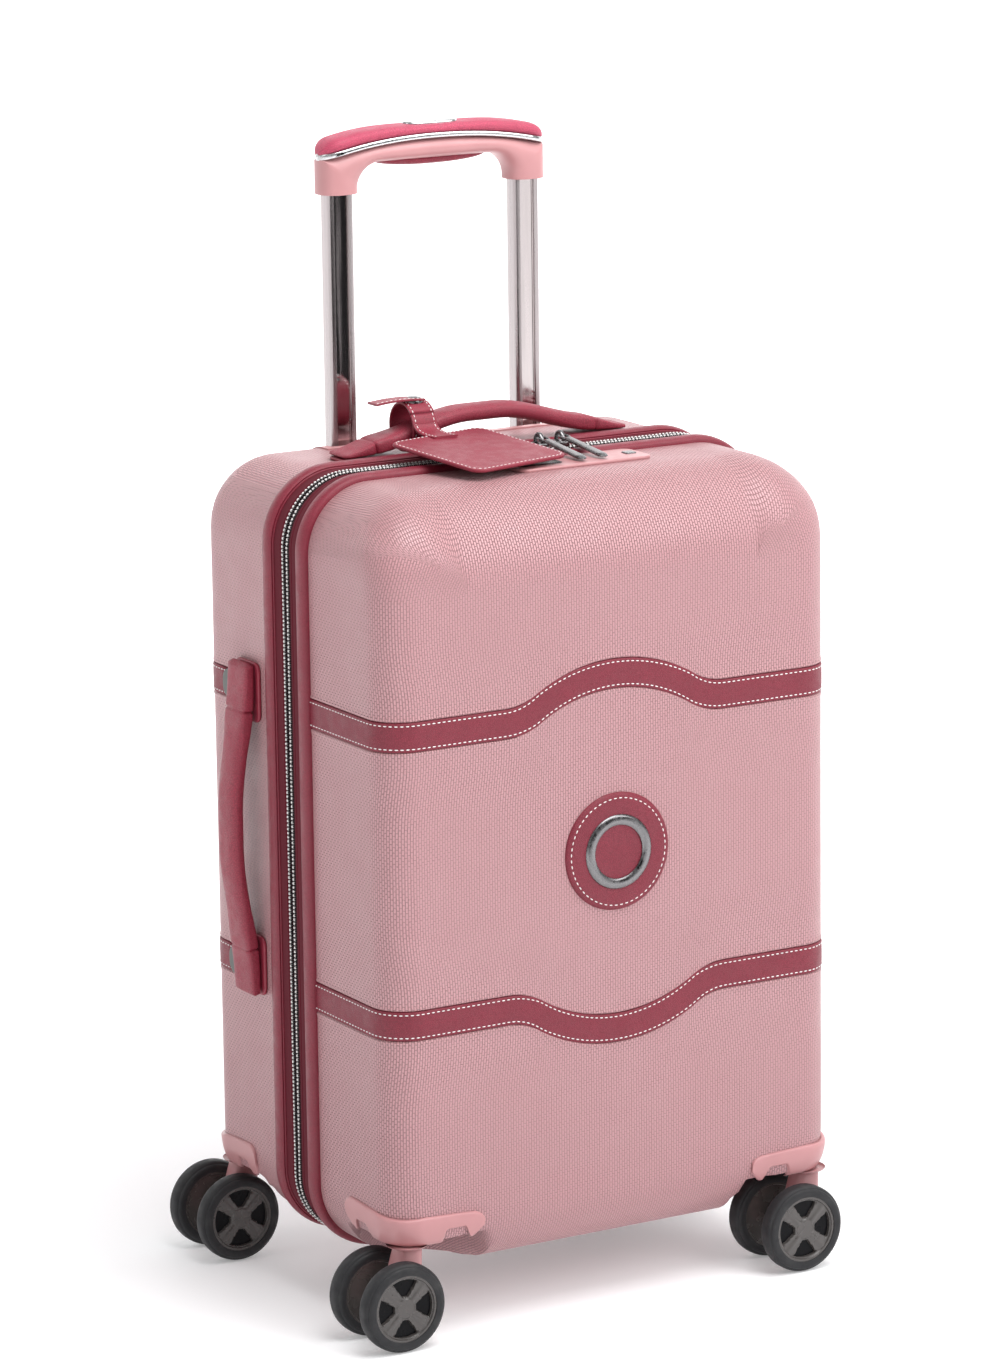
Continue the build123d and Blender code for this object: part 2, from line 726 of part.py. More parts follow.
# ---------------------------------------------------------------- carry handles
# Each stands on its wall: local X runs along the handle and local Y away from the wall.
top_plane = Plane(origin=(0, top_handle_y, shell_top), x_dir=(1, 0, 0), z_dir=(0, -1, 0))
side_plane = Plane(origin=(-half_width, side_handle_y, side_handle_z), x_dir=(0, 0, 1), z_dir=(0, -1, 0))
handles = {
    "top": (top_plane, top_handle_half, top_handle_width, top_handle_thickness),
    "side": (side_plane, side_handle_half, side_handle_width, side_handle_thickness),
}
bows = {
    "top": (top_handle_rise, top_handle_bow, top_handle_arc),
    "side": (side_handle_rise, side_handle_bow, side_handle_arc),
}
for name, (plane, half_length, width, thickness) in handles.items():
    rise, bow_half, arc_half = bows[name]
    middle = mount_thickness + body_gap + thickness / 2
    post_at = half_length - mount_length / 4
    with BuildPart() as handle:
        with BuildSketch(plane):
            with BuildLine():
                bow_line(middle, rise, bow_half, arc_half, half_length)
            trace(line_width=thickness)
        extrude(amount=width / 2, both=True)
        side_edges = handle.faces().filter_by(Axis.Y).edges()
        end_edges = side_edges.filter_by(Axis((0, 0, 0), plane.y_dir))
        fillet([edge for edge in side_edges if edge not in end_edges], handle_rounding)
        for way in (-1, 1):
            hole = Plane(plane.from_local_coords((way * post_at, 0, 0)), x_dir=plane.x_dir, z_dir=plane.y_dir)
            with BuildSketch(hole):
                Circle(post_radius + body_gap)
            extrude(amount=mount_thickness + post_height + body_gap, mode=Mode.SUBTRACT)
    write(handle.part, f"{name}_handle")

    with BuildPart() as mounts:
        for way in (-1, 1):
            seat = plane.from_local_coords((way * (half_length - mount_length / 2), 0, 0))
            with BuildSketch(Plane(seat, x_dir=plane.x_dir, z_dir=plane.y_dir)):
                RectangleRounded(mount_length, width + mount_margin, mount_corner)
            extrude(amount=mount_thickness)
            hole = Plane(plane.from_local_coords((way * post_at, 0, 0)), x_dir=plane.x_dir, z_dir=plane.y_dir)
            with BuildSketch(hole):
                Circle(post_radius)
            extrude(amount=mount_thickness + post_height)
    write(mounts.part, f"{name}_handle_mounts")

with BuildPart() as band_end_plates:
    for mid_z in (upper_band_z, lower_band_z):
        end_y = side_handle_y + side_handle_width / 2 + mount_margin / 2 + end_plate_gap
        with BuildSketch(Plane.YZ.offset(-half_width - band_proud)):
            with Locations((end_y + end_plate_length / 2, mid_z)):
                RectangleRounded(end_plate_length, band_height, end_plate_corner)
        extrude(amount=-end_plate_thickness)
write(band_end_plates.part, "band_end_plates")

# ---------------------------------------------------------------- luggage tag on the top handle
handle_mid_z = shell_top + mount_thickness + body_gap + top_handle_thickness / 2
loop_z = handle_mid_z + top_handle_rise - tag_loop_drop
loop_out = tag_loop_radius + tag_strap_thickness
card_back = Plane(
    origin=(tag_x, top_handle_y - loop_out - tag_loop_gap, loop_z - tag_card_drop),
    x_dir=(math.cos(math.radians(tag_turn)), math.sin(math.radians(tag_turn)), 0),
).rotated((tag_tilt, 0, 0))
with BuildPart() as tag_card:
    with BuildSketch(card_back):
        with Locations((0, -tag_length / 2)):
            RectangleRounded(tag_width, tag_length, tag_corner)
    extrude(amount=-tag_thickness)
write(tag_card.part, "tag_card")

with BuildPart() as tag_strap:
    with BuildSketch(Plane.YZ.offset(tag_x - tag_strap_width / 2)):
        with Locations((top_handle_y, loop_z)):
            Circle(loop_out)
            Circle(tag_loop_radius, mode=Mode.SUBTRACT)
    extrude(amount=tag_strap_width)
    with BuildSketch(card_back):
        with Locations((0, -tag_tab_length / 2 + tag_tab_back)):
            Rectangle(tag_strap_width, tag_tab_length)
    extrude(amount=tag_strap_thickness)
    with BuildSketch(Plane.YZ.offset(tag_x - tag_strap_width)):
        with Locations((top_handle_y, loop_z)):
            Circle(tag_loop_radius)
    extrude(amount=2 * tag_strap_width, mode=Mode.SUBTRACT)
write(tag_strap.part, "tag_strap")

with BuildPart() as tag_snap:
    with BuildSketch(Plane.XY.offset(loop_z + loop_out)):
        with Locations((tag_x, top_handle_y)):
            Circle(snap_radius)
    extrude(amount=snap_height)
    fillet(tag_snap.edges().group_by(Axis.Z)[-1], snap_height / 2)
write(tag_snap.part, "tag_snap")

# ---------------------------------------------------------------- lock on the top wall
lock_face = shell_top + lock_proud
first_dial = lock_x - lock_length / 2 + dial_margin
dial_places = [first_dial + step * dial_pitch for step in range(3)]
dial_z = lock_face + dial_proud - dial_radius
button_x = lock_x + lock_length / 2 - lock_button_margin
with BuildPart() as lock_plate:
    with BuildSketch(Plane.XY.offset(shell_top - lock_sink)):
        with Locations((lock_x, lock_y)):
            Rectangle(lock_length - 2 * lock_rim, lock_width - 2 * lock_rim)
    extrude(amount=lock_sink)
    with BuildSketch(Plane.XY.offset(shell_top)):
        with Locations((lock_x, lock_y)):
            RectangleRounded(lock_length, lock_width, lock_corner)
    extrude(amount=lock_proud)
    with BuildSketch(Plane.XY.offset(lock_face)):
        with Locations(*((x, lock_y) for x in dial_places)):
            Rectangle(dial_width + 2 * body_gap, 2 * dial_radius + 2 * body_gap)
    extrude(amount=-(lock_proud + lock_sink - lock_floor), mode=Mode.SUBTRACT)
    with BuildSketch(Plane.XY.offset(lock_face)):
        with Locations((button_x - lock_button_travel / 2, lock_y)):
            Rectangle(
                lock_button_size + lock_button_travel + 2 * body_gap, lock_button_size + 2 * body_gap
            )
    extrude(amount=-(lock_button_depth + body_gap), mode=Mode.SUBTRACT)
    with BuildSketch(Plane.YZ.offset(first_dial - dial_pitch / 2)):
        with Locations((lock_y, dial_z)):
            Circle(dial_pin_radius)
    extrude(amount=3 * dial_pitch)
write(lock_plate.part, "lock_plate")

for number, x in enumerate(dial_places, start=1):
    with BuildPart() as dial:
        with BuildSketch(Plane.YZ.offset(x - dial_width / 2)):
            with Locations((lock_y, dial_z)):
                RegularPolygon(dial_radius, 10)
                Circle(dial_pin_radius + running_fit, mode=Mode.SUBTRACT)
        extrude(amount=dial_width)
    write(dial.part, f"lock_dial_{number}")

with BuildPart() as lock_button:
    with BuildSketch(Plane.XY.offset(lock_face - lock_button_depth)):
        with Locations((button_x, lock_y)):
            Rectangle(lock_button_size, lock_button_size)
    extrude(amount=lock_button_depth + lock_button_proud)
    fillet(lock_button.edges().group_by(Axis.Z)[-1], lock_button_proud)
write(lock_button.part, "lock_button")

# ---------------------------------------------------------------- zip sliders and their pulls
slider_z = shell_top + coil_proud + body_gap
pin_z = slider_z + slider_height + pull_eye_radius + body_gap
cheek_inner = pull_width / 2 + body_gap
for name, x in (("left", slider_left_x), ("right", slider_right_x)):
    with BuildPart() as slider:
        with BuildSketch(Plane.XY.offset(slider_z)):
            with Locations((x, zip_y)):
                RectangleRounded(slider_length, slider_width, slider_corner)
        extrude(amount=slider_height)
        for way in (-1, 1):
            with BuildSketch(Plane.YZ.offset(x + way * cheek_inner)):
                with Locations((zip_y, (slider_z + slider_height + pin_z) / 2)):
                    Rectangle(2 * pull_eye_radius, pin_z - slider_z - slider_height)
                with Locations((zip_y, pin_z)):
                    Circle(pull_eye_radius)
            extrude(amount=way * cheek_thickness)
        with BuildSketch(Plane.YZ.offset(x - cheek_inner)):
            with Locations((zip_y, pin_z)):
                Circle(pull_pin_radius)
        extrude(amount=2 * cheek_inner)
    write(slider.part, f"{name}_zip_slider")

    lying = Plane(origin=(x, zip_y, pin_z), x_dir=(1, 0, 0)).rotated((pull_slope, 0, 0))
    with BuildPart() as pull:
        with BuildSketch(lying):
            with Locations((0, -pull_length / 2)):
                RectangleRounded(pull_width, pull_length, pull_corner)
        extrude(amount=pull_thickness / 2, both=True)
        with BuildSketch(Plane.YZ.offset(x)):
            with Locations((zip_y, pin_z)):
                Circle(pull_eye_radius)
        extrude(amount=pull_width / 2, both=True)
        with BuildSketch(Plane.YZ.offset(x)):
            with Locations((zip_y, pin_z)):
                Circle(pull_pin_radius + running_fit)
        extrude(amount=pull_width, both=True, mode=Mode.SUBTRACT)
    write(pull.part, f"{name}_zip_pull")

# ---------------------------------------------------------------- inside fittings
with BuildPart() as hinge_gusset:
    with BuildSketch(Plane.XY.offset(shell_bottom + gusset_margin)):
        with Locations((half_width - tape_thickness + tape_proud - gusset_thickness / 2, zip_y + rim / 2)):
            Rectangle(gusset_thickness, rim - 2 * body_gap)
    extrude(amount=shell_height - 2 * gusset_margin)
write(hinge_gusset.part, "hinge_gusset")

lining_face = lining_y - lining_thickness
with BuildPart() as packing_straps:
    for strap_z in (middle_z - strap_spread, middle_z + strap_spread):
        with BuildSketch(Plane.XZ.offset(-lining_face)):
            with Locations((0, strap_z)):
                Rectangle(shell_width - strap_margin, strap_width)
        extrude(amount=strap_thickness)
        with BuildSketch(Plane.XZ.offset(-lining_face)):
            with Locations((0, strap_z)):
                Rectangle(buckle_length, strap_width + buckle_margin)
        extrude(amount=buckle_thickness)
write(packing_straps.part, "packing_straps")
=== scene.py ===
import math

import bmesh
import bpy
import numpy as np
from mathutils import Matrix, Vector


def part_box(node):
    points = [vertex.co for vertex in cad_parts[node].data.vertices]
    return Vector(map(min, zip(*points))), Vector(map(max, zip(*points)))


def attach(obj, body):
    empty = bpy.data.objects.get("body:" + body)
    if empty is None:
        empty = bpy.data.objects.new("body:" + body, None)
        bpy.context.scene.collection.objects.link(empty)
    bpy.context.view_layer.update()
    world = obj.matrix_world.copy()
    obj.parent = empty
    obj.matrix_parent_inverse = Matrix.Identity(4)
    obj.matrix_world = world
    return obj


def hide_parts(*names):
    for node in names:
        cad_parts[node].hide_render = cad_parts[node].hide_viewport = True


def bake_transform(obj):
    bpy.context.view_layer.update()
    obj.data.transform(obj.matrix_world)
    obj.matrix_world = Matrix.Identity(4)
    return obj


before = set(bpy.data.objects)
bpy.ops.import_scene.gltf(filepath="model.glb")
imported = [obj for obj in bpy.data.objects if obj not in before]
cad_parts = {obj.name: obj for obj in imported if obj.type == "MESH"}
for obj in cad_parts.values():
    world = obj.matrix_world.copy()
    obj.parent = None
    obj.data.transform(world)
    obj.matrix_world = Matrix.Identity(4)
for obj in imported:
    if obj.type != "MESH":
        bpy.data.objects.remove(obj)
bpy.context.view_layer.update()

# A hard shell cabin suitcase: moulded shells, let-in leather bands, piping, zip, casters, handles, tag.
# Shapes are worked out in millimetres and laid into meshes in metres.
MM = 0.001


def box_mm(node):
    """Lowest and highest corner of a frame node, in millimetres."""
    low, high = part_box(node)
    return np.array(low) / MM, np.array(high) / MM


def ease(x):
    """Smooth step: 0 below 0, 1 above 1, and 3x^2 - 2x^3 between."""
    x = np.clip(x, 0.0, 1.0)
    return x * x * (3 - 2 * x)


# ---------------------------------------------------------------- sizes read from the frame
shell_low, shell_high = box_mm("front_shell")
back_low, back_high = box_mm("back_shell")
half_width = shell_high[0]
shell_bottom, shell_top = shell_low[2], shell_high[2]
front_y, back_y = shell_low[1], back_high[1]
front_rim, back_rim = shell_high[1], back_low[1]
closing_y = (front_rim + back_rim) / 2
rim_reach = (back_rim - front_rim) / 2
middle_z = (shell_top + shell_bottom) / 2
height = shell_top - shell_bottom
band_box = {level: box_mm(f"front_{level}_band") for level in ("upper", "lower")}
band_half = 9.6
wave_rise = 23.5
wave_half = 82.0
wave_arc_half = 58.0
band_mid = {"upper": band_box["upper"][0][2] + band_half, "lower": band_box["lower"][1][2] - band_half}
wave_up = {"upper": wave_rise, "lower": -wave_rise}
corner_radius = 45.0
reach = 60.0                 # of the corner patches, in from the outline
well_radius = 55.3
caster_trail = 15.6          # of an axle behind its stem
piping_proud = box_mm("front_piping")[1][0] - half_width
stems = {}
for corner in ("front_left", "front_right", "back_left", "back_right"):
    low, high = box_mm(f"{corner}_tyres")
    axle = (low + high) / 2
    stems[corner] = (axle[0] + caster_trail, axle[1])
stem_x, stem_y = abs(stems["front_left"][0]), abs(stems["front_left"][1])
guard_z = box_mm("front_left_guard")[0][2]

# ---------------------------------------------------------------- materials


class Finish:
    """A node material being put together: principled surface, one coordinate source, bump in series."""

    def __init__(self, name, colour, rough, metal=0.0, coordinates="Object", specular=0.5, sheen=0.0):
        self.material = bpy.data.materials.new(name)
        self.material.use_nodes = True
        tree = self.material.node_tree
        self.nodes, self.links = tree.nodes, tree.links
        self.surface = self.nodes["Principled BSDF"]
        self.surface.inputs["Base Color"].default_value = (*colour, 1)
        self.surface.inputs["Roughness"].default_value = rough
        self.surface.inputs["Metallic"].default_value = metal
        self.surface.inputs["Specular IOR Level"].default_value = specular
        self.surface.inputs["Sheen Weight"].default_value = sheen
        self.source = self.nodes.new("ShaderNodeTexCoord").outputs[coordinates]
        self.bumped = None

    def scaled(self, scale, turn=0.0):
        """Coordinates stretched by scale and turned about Z."""
        mapping = self.nodes.new("ShaderNodeMapping")
        mapping.inputs["Scale"].default_value = scale
        mapping.inputs["Rotation"].default_value = (0, 0, turn)
        self.links.new(self.source, mapping.inputs["Vector"])
        return mapping.outputs["Vector"]

    def noise(self, scale, detail=3.0, stretch=(1, 1, 1)):
        """Cloudy pattern, 0 to 1."""
        node = self.nodes.new("ShaderNodeTexNoise")
        node.inputs["Scale"].default_value = scale
        node.inputs["Detail"].default_value = detail
        self.links.new(self.scaled(stretch), node.inputs["Vector"])
        return node.outputs["Fac"]

    def cells(self, scale):
        """Distance to the edge of the nearest of many uneven cells."""
        node = self.nodes.new("ShaderNodeTexVoronoi")
        node.feature = "DISTANCE_TO_EDGE"
        node.inputs["Scale"].default_value = scale
        self.links.new(self.source, node.inputs["Vector"])
        return node.outputs["Distance"]

    def waves(self, scale, stretch, distortion=0.0, turn=0.0):
        """Even ridges across one way, 0 to 1."""
        node = self.nodes.new("ShaderNodeTexWave")
        node.inputs["Scale"].default_value = scale
        node.inputs["Distortion"].default_value = distortion
        self.links.new(self.scaled(stretch, turn), node.inputs["Vector"])
        return node.outputs["Fac"]

    def ramp(self, value, low, high, dark=0.0, light=1.0):
        """A value carried smoothly from low..high to dark..light."""
        node = self.nodes.new("ShaderNodeMapRange")
        node.interpolation_type = "SMOOTHSTEP"
        for key, number in (("From Min", low), ("From Max", high), ("To Min", dark), ("To Max", light)):
            node.inputs[key].default_value = number
        self.links.new(value, node.inputs["Value"])
        return node.outputs["Result"]

    def mixed(self, value, colour_low, colour_high):
        """Base colour between two colours by a value."""
        node = self.nodes.new("ShaderNodeMix")
        node.data_type = "RGBA"
        node.inputs[6].default_value = (*colour_low, 1)
        node.inputs[7].default_value = (*colour_high, 1)
        self.links.new(value, node.inputs[0])
        self.links.new(node.outputs[2], self.surface.inputs["Base Color"])
        return self

    def roughness(self, value, low, high):
        """Roughness between low and high by a value."""
        self.links.new(self.ramp(value, 0.3, 0.7, low, high), self.surface.inputs["Roughness"])
        return self

    def bump(self, value, strength, depth):
        """Relief by a value, on top of what is already there."""
        node = self.nodes.new("ShaderNodeBump")
        node.inputs["Strength"].default_value = strength
        node.inputs["Distance"].default_value = depth
        self.links.new(value, node.inputs["Height"])
        if self.bumped is not None:
            self.links.new(self.bumped, node.inputs["Normal"])
        self.bumped = node.outputs["Normal"]
        self.links.new(self.bumped, self.surface.inputs["Normal"])
        return self

    def product(self, one, other):
        """One value times another."""
        node = self.nodes.new("ShaderNodeMath")
        node.operation = "MULTIPLY"
        self.links.new(one, node.inputs[0])
        self.links.new(other, node.inputs[1])
        return node.outputs[0]


def shade(colour, factor):
    """A colour made darker or lighter by a factor."""
    return tuple(min(1.0, c * factor) for c in colour)


def moulded_shell():
    """Pink sheet embossed with short upright ribs, set like bricks on end, with painted shade in the
    grooves between them, and a soft sheen.
    """
    base = (0.48, 0.240, 0.257)
    finish = Finish("moulded_pink_shell", base, 0.42, coordinates="UV", specular=0.9)
    brick = finish.nodes.new("ShaderNodeTexBrick")
    brick.offset = 0.5
    for key, number in (
        ("Scale", 1.0), ("Mortar Size", 0.00045), ("Mortar Smooth", 1.0),
        ("Brick Width", 0.0036), ("Row Height", 0.0019),
    ):
        brick.inputs[key].default_value = number
    for key, grey_level in (("Color1", 1), ("Color2", 1), ("Mortar", 0)):
        brick.inputs[key].default_value = (grey_level, grey_level, grey_level, 1)
    finish.links.new(finish.scaled((1, 1, 1), math.pi / 2), brick.inputs["Vector"])
    grey = finish.nodes.new("ShaderNodeRGBToBW")
    finish.links.new(brick.outputs["Color"], grey.inputs["Color"])
    ribs = grey.outputs["Val"]
    # painted shade: the grooves between the ribs are coloured darker than the raised ribs
    finish.mixed(finish.ramp(ribs, 0.0, 1.0), shade(base, 0.70), shade(base, 1.08))
    finish.roughness(finish.noise(38, 4), 0.36, 0.47)
    finish.bump(ribs, 1.0, 0.0006)
    finish.bump(finish.noise(900, 2), 0.10, 0.0001)
    return finish.material


def leather(name, base, grain=900, depth=0.00022, rough=0.46):
    """Grained leather: rounded cells between fine creases, darker in the creases as painted shade, uneven
    gloss.
    """
    finish = Finish(name, base, rough, specular=0.45)
    creases = finish.ramp(finish.cells(grain), 0.0, 0.28)
    mottled = finish.ramp(finish.noise(60, 4), 0.3, 0.7, 0.65, 1.0)
    # painted shade in the creases, times a random mottle of tone
    finish.mixed(finish.product(creases, mottled), shade(base, 0.70), shade(base, 1.12))
    finish.roughness(finish.noise(120, 3), rough - 0.06, rough + 0.08)
    finish.bump(creases, 0.55, depth).bump(finish.noise(2600, 2), 0.15, 0.00008)
    return finish.material


def smooth_moulding(name, base, rough=0.4, grain=2200, specular=0.45):
    """Plain moulded plastic with a fine spark eroded grain and a faint unevenness."""
    finish = Finish(name, base, rough, specular=specular)
    finish.mixed(finish.ramp(finish.noise(25, 3), 0.3, 0.7), shade(base, 0.94), shade(base, 1.04))
    finish.roughness(finish.noise(70, 3), rough - 0.05, rough + 0.06)
    finish.bump(finish.noise(grain, 2), 0.18, 0.00012)
    return finish.material


def metal(name, base, rough, streak=(1, 1, 1), streak_scale=400):
    """Metal with fine streaks along one way and slightly uneven gloss."""
    finish = Finish(name, base, rough, metal=1.0)
    streaks = finish.noise(streak_scale, 3, streak)
    finish.mixed(finish.ramp(streaks, 0.3, 0.7), shade(base, 0.86), shade(base, 1.08))
    finish.roughness(streaks, rough - 0.06, rough + 0.08)
    finish.bump(streaks, 0.08, 0.00006)
    return finish.material


def cloth(name, base, pitch=1500):
    """Plain weave: two sets of crossing waves, one raised where the other dips, coloured darker in the dips
    as painted shade.
    """
    finish = Finish(name, base, 0.8, coordinates="UV", specular=0.15, sheen=0.05)
    scale = pitch / 6.28
    warp = finish.waves(scale, (1, 0, 0))
    weft = finish.waves(scale, (1, 0, 0), turn=math.pi / 2)
    weave = finish.product(warp, weft)
    # painted shade: darker where the weave dips, lighter on the raised crossings
    finish.mixed(finish.ramp(weave, 0.0, 0.8), shade(base, 0.6), shade(base, 1.15))
    finish.bump(weave, 0.5, 0.0002).bump(finish.noise(300, 3), 0.2, 0.0003)
    return finish.material


def thread(name, base):
    """Twisted sewing thread: fine slanting ridges, with painted shade in the grooves between them."""
    finish = Finish(name, base, 0.6, specular=0.25, sheen=0.15)
    twist = finish.waves(700, (1, 0.6, 0.8), 1.0)
    # painted shade: darker in the grooves of the twist
    finish.mixed(finish.ramp(twist, 0.2, 0.8), shade(base, 0.78), shade(base, 1.05))
    finish.bump(twist, 0.4, 0.00008)
    return finish.material


def tread_rubber():
    """Charcoal rubber, dull, with a fine grain and dust in patches."""
    base = (0.022, 0.022, 0.024)
    finish = Finish("tyre_rubber", base, 0.5, specular=0.3)
    finish.mixed(finish.ramp(finish.noise(90, 4), 0.45, 0.75), base, (0.032, 0.032, 0.033))
    finish.roughness(finish.noise(160, 3), 0.48, 0.66)
    finish.bump(finish.noise(1800, 2), 0.2, 0.00012)
    return finish.material


rose = (0.215, 0.017, 0.036)
finishes = {
    "shell": moulded_shell(),
    "band": leather("band_leather", rose),
    "handle": leather("handle_leather", (0.30, 0.026, 0.052), grain=760, depth=0.0003),
    "tag": leather("tag_leather", (0.285, 0.023, 0.047), grain=1200, depth=0.00014, rough=0.42),
    "grip": leather("grip_pad", (0.52, 0.062, 0.125), grain=820, depth=0.00026, rough=0.44),
    "piping": leather("stuffed_piping", (0.235, 0.018, 0.038), grain=1500, depth=0.00010, rough=0.40),
    "tape": cloth("zip_tape", (0.17, 0.012, 0.027), 2400),
    "lining": cloth("lining_cloth", (0.42, 0.36, 0.36), 900),
    "webbing": cloth("strap_webbing", (0.24, 0.05, 0.08), 1300),
    "coil": smooth_moulding("zip_coil", (0.010, 0.009, 0.010), 0.35, specular=0.25),
    "white": thread("white_thread", (0.86, 0.83, 0.82)),
    "pink": smooth_moulding("guard_moulding", (0.50, 0.240, 0.248), 0.34),
    "deep": smooth_moulding("handle_base_moulding", (0.28, 0.027, 0.050), 0.38),
    "tyre": tread_rubber(),
    "rim": smooth_moulding("rim_grey", (0.060, 0.053, 0.050), 0.27, specular=0.7),
    # near-black: painted shade behind the wheels' windows, also the lock window and the dark card
    "dark": smooth_moulding("window_dark_and_painted_shade", (0.004, 0.004, 0.005), 0.3, specular=0.12),
    "tube": metal("anodised_tube", (0.60, 0.54, 0.54), 0.09, (8, 8, 0.2), 30),
    "tube_edge": metal("bright_tube_edge", (0.50, 0.45, 0.455), 0.28, (8, 8, 0.2), 30),
    "gunmetal": metal("gunmetal", (0.20, 0.195, 0.20), 0.27),
    "plate": metal("handle_end_plate", (0.11, 0.115, 0.11), 0.42),
    "bright": metal("polished_trim", (0.60, 0.60, 0.61), 0.16),
    "dial": smooth_moulding("dial_white", (0.72, 0.70, 0.70), 0.4),
}

# ---------------------------------------------------------------- laying surfaces into meshes


def lengths(points):
    """Distance travelled along the first way of a grid, averaged over the second, from 0, in metres."""
    steps = np.linalg.norm(np.diff(points, axis=0), axis=2).mean(axis=1)
    return np.concatenate([[0.0], np.cumsum(steps)]) * MM


def lay(
    name, grids, material, body, replaces=(), smooth=38.0, wall=0.0, uv=None, merge=True, hole=None
):
    """One mesh from grids of points (rows, columns, 3) in millimetres.

    Neighbours in a grid are joined by quads; rows or columns that meet are merged, which closes seams
    and poles.  The UV map is the distance along each way unless it is given.  wall is the thickness
    laid on inwards.  hole is a box, low and high corner, whose faces are left out.
    """
    vertices, faces, coordinates, start = [], [], [], 0
    for index, grid in enumerate(grids):
        rows, columns = grid.shape[:2]
        number = start + np.arange(rows * columns).reshape(rows, columns)
        quads = np.stack(
            [number[:-1, :-1], number[1:, :-1], number[1:, 1:], number[:-1, 1:]], axis=-1
        ).reshape(-1, 4)
        if uv is not None:
            laid = uv[index]
        else:
            across = lengths(grid.transpose(1, 0, 2))
            along = lengths(grid)
            laid = np.stack(np.broadcast_arrays(across[None, :], along[:, None]), axis=-1)
        vertices.append(grid.reshape(-1, 3) * MM)
        coordinates.append(laid.reshape(-1, 2))
        faces.append(quads)
        start += rows * columns
    vertices, faces = np.concatenate(vertices), np.concatenate(faces)
    if hole is not None:
        middle = vertices[faces].mean(axis=1)
        inside = ((middle > np.array(hole[0]) * MM) & (middle < np.array(hole[1]) * MM)).all(axis=1)
        faces = faces[~inside]
    coordinates = np.concatenate(coordinates)
    mesh = bpy.data.meshes.new(name)
    mesh.vertices.add(len(vertices))
    mesh.vertices.foreach_set("co", vertices.ravel())
    mesh.loops.add(faces.size)
    mesh.loops.foreach_set("vertex_index", faces.ravel().astype(np.int32))
    mesh.polygons.add(len(faces))
    mesh.polygons.foreach_set("loop_start", np.arange(0, faces.size, 4, dtype=np.int32))
    mesh.update(calc_edges=True)
    layer = mesh.uv_layers.new(name="UVMap")
    layer.data.foreach_set("uv", coordinates[faces.ravel()].ravel())
    work = bmesh.new()
    work.from_mesh(mesh)
    if merge:
        bmesh.ops.remove_doubles(work, verts=work.verts, dist=2e-6)
        bmesh.ops.dissolve_degenerate(work, edges=work.edges, dist=1e-7)
    bmesh.ops.recalc_face_normals(work, faces=work.faces)
    work.to_mesh(mesh)
    work.free()
    mesh.polygons.foreach_set("use_smooth", np.ones(len(mesh.polygons), dtype=bool))
    mesh.set_sharp_from_angle(angle=math.radians(smooth))
    mesh.materials.append(material)
    piece = bpy.data.objects.new(name, mesh)
    bpy.context.collection.objects.link(piece)
    if wall:
        solid = piece.modifiers.new("wall", "SOLIDIFY")
        solid.thickness = wall * MM
        solid.offset = -1
    if body:
        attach(piece, body)
    if replaces:
        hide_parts(*replaces)
    return piece


def turned(profile, centre, axis="y", steps=72):
    """A profile of (radius, distance along the axis) turned round an axis through centre."""
    angle = np.linspace(0, 2 * np.pi, steps + 1)
    radius, along = np.asarray(profile, float).T
    one = radius[:, None] * np.cos(angle)[None, :]
    two = radius[:, None] * np.sin(angle)[None, :]
    rise = np.broadcast_to(along[:, None], one.shape)
    order = {"y": (one, rise, two), "z": (one, two, rise), "x": (rise, one, two)}[axis]
    return np.stack(order, axis=-1) + np.asarray(centre, float)


def rounded_outline(width, length, radius, per_corner=10):
    """Closed outline of a rounded rectangle about (0, 0): four quarter circles joined, with outward
    directions, both as arrays that end where they start."""
    radius = min(radius, width / 2, length / 2)
    quarter = np.linspace(0, np.pi / 2, per_corner)
    angles = np.concatenate([quarter + turn * np.pi / 2 for turn in range(4)])
    out = np.stack([np.cos(angles), np.sin(angles)], axis=1)
    sign = np.repeat([[1, 1], [-1, 1], [-1, -1], [1, -1]], per_corner, axis=0)
    points = sign * [width / 2 - radius, length / 2 - radius] + radius * out
    return np.vstack([points, points[:1]]), np.vstack([out, out[:1]])


def slab(origin, x_way, y_way, size, thickness, corner, edge, crown=0.0, per_corner=10):
    """A rounded plate lying from origin up along x_way x y_way.

    Rings of the rounded outline, moved in by edge (1 - sin a) and up by edge (1 - cos a) round the lower
    rim and the same round the upper one, closed by shrinking to the middle, which crown lifts.
    """
    x_way, y_way = np.asarray(x_way, float), np.asarray(y_way, float)
    x_way, y_way = x_way / np.linalg.norm(x_way), y_way / np.linalg.norm(y_way)
    up = np.cross(x_way, y_way)
    outline, out = rounded_outline(size[0], size[1], corner, per_corner)
    bend = np.linspace(0, np.pi / 2, 5)
    low = [(edge * (1 - math.sin(a)), edge * (1 - math.cos(a))) for a in bend]
    high = [(inset, thickness - rise) for inset, rise in low[::-1]]
    rings = [np.zeros_like(outline), 0.6 * outline] + [outline - out * inset for inset, _ in low + high]
    rises = [0, 0] + [rise for _, rise in low + high]
    for share in (0.9, 0.7, 0.4, 0.15, 0.0):
        rings.append((outline - out * edge) * share)
        rises.append(thickness + crown * (1 - share**2))
    flat = np.array(rings)
    rise = np.broadcast_to(np.array(rises)[:, None], flat.shape[:2])
    return (
        np.asarray(origin, float)
        + flat[..., :1] * x_way + flat[..., 1:] * y_way + rise[..., None] * up
    )


def carried(path, sections, up, aside):
    """Sections (stations, around, 2) set along a path: first number along up, second along aside, each
    one direction for the whole path or one for each station."""
    up, aside = (np.atleast_2d(np.asarray(way, float))[:, None, :] for way in (up, aside))
    return path[:, None, :] + sections[..., :1] * up + sections[..., 1:] * aside


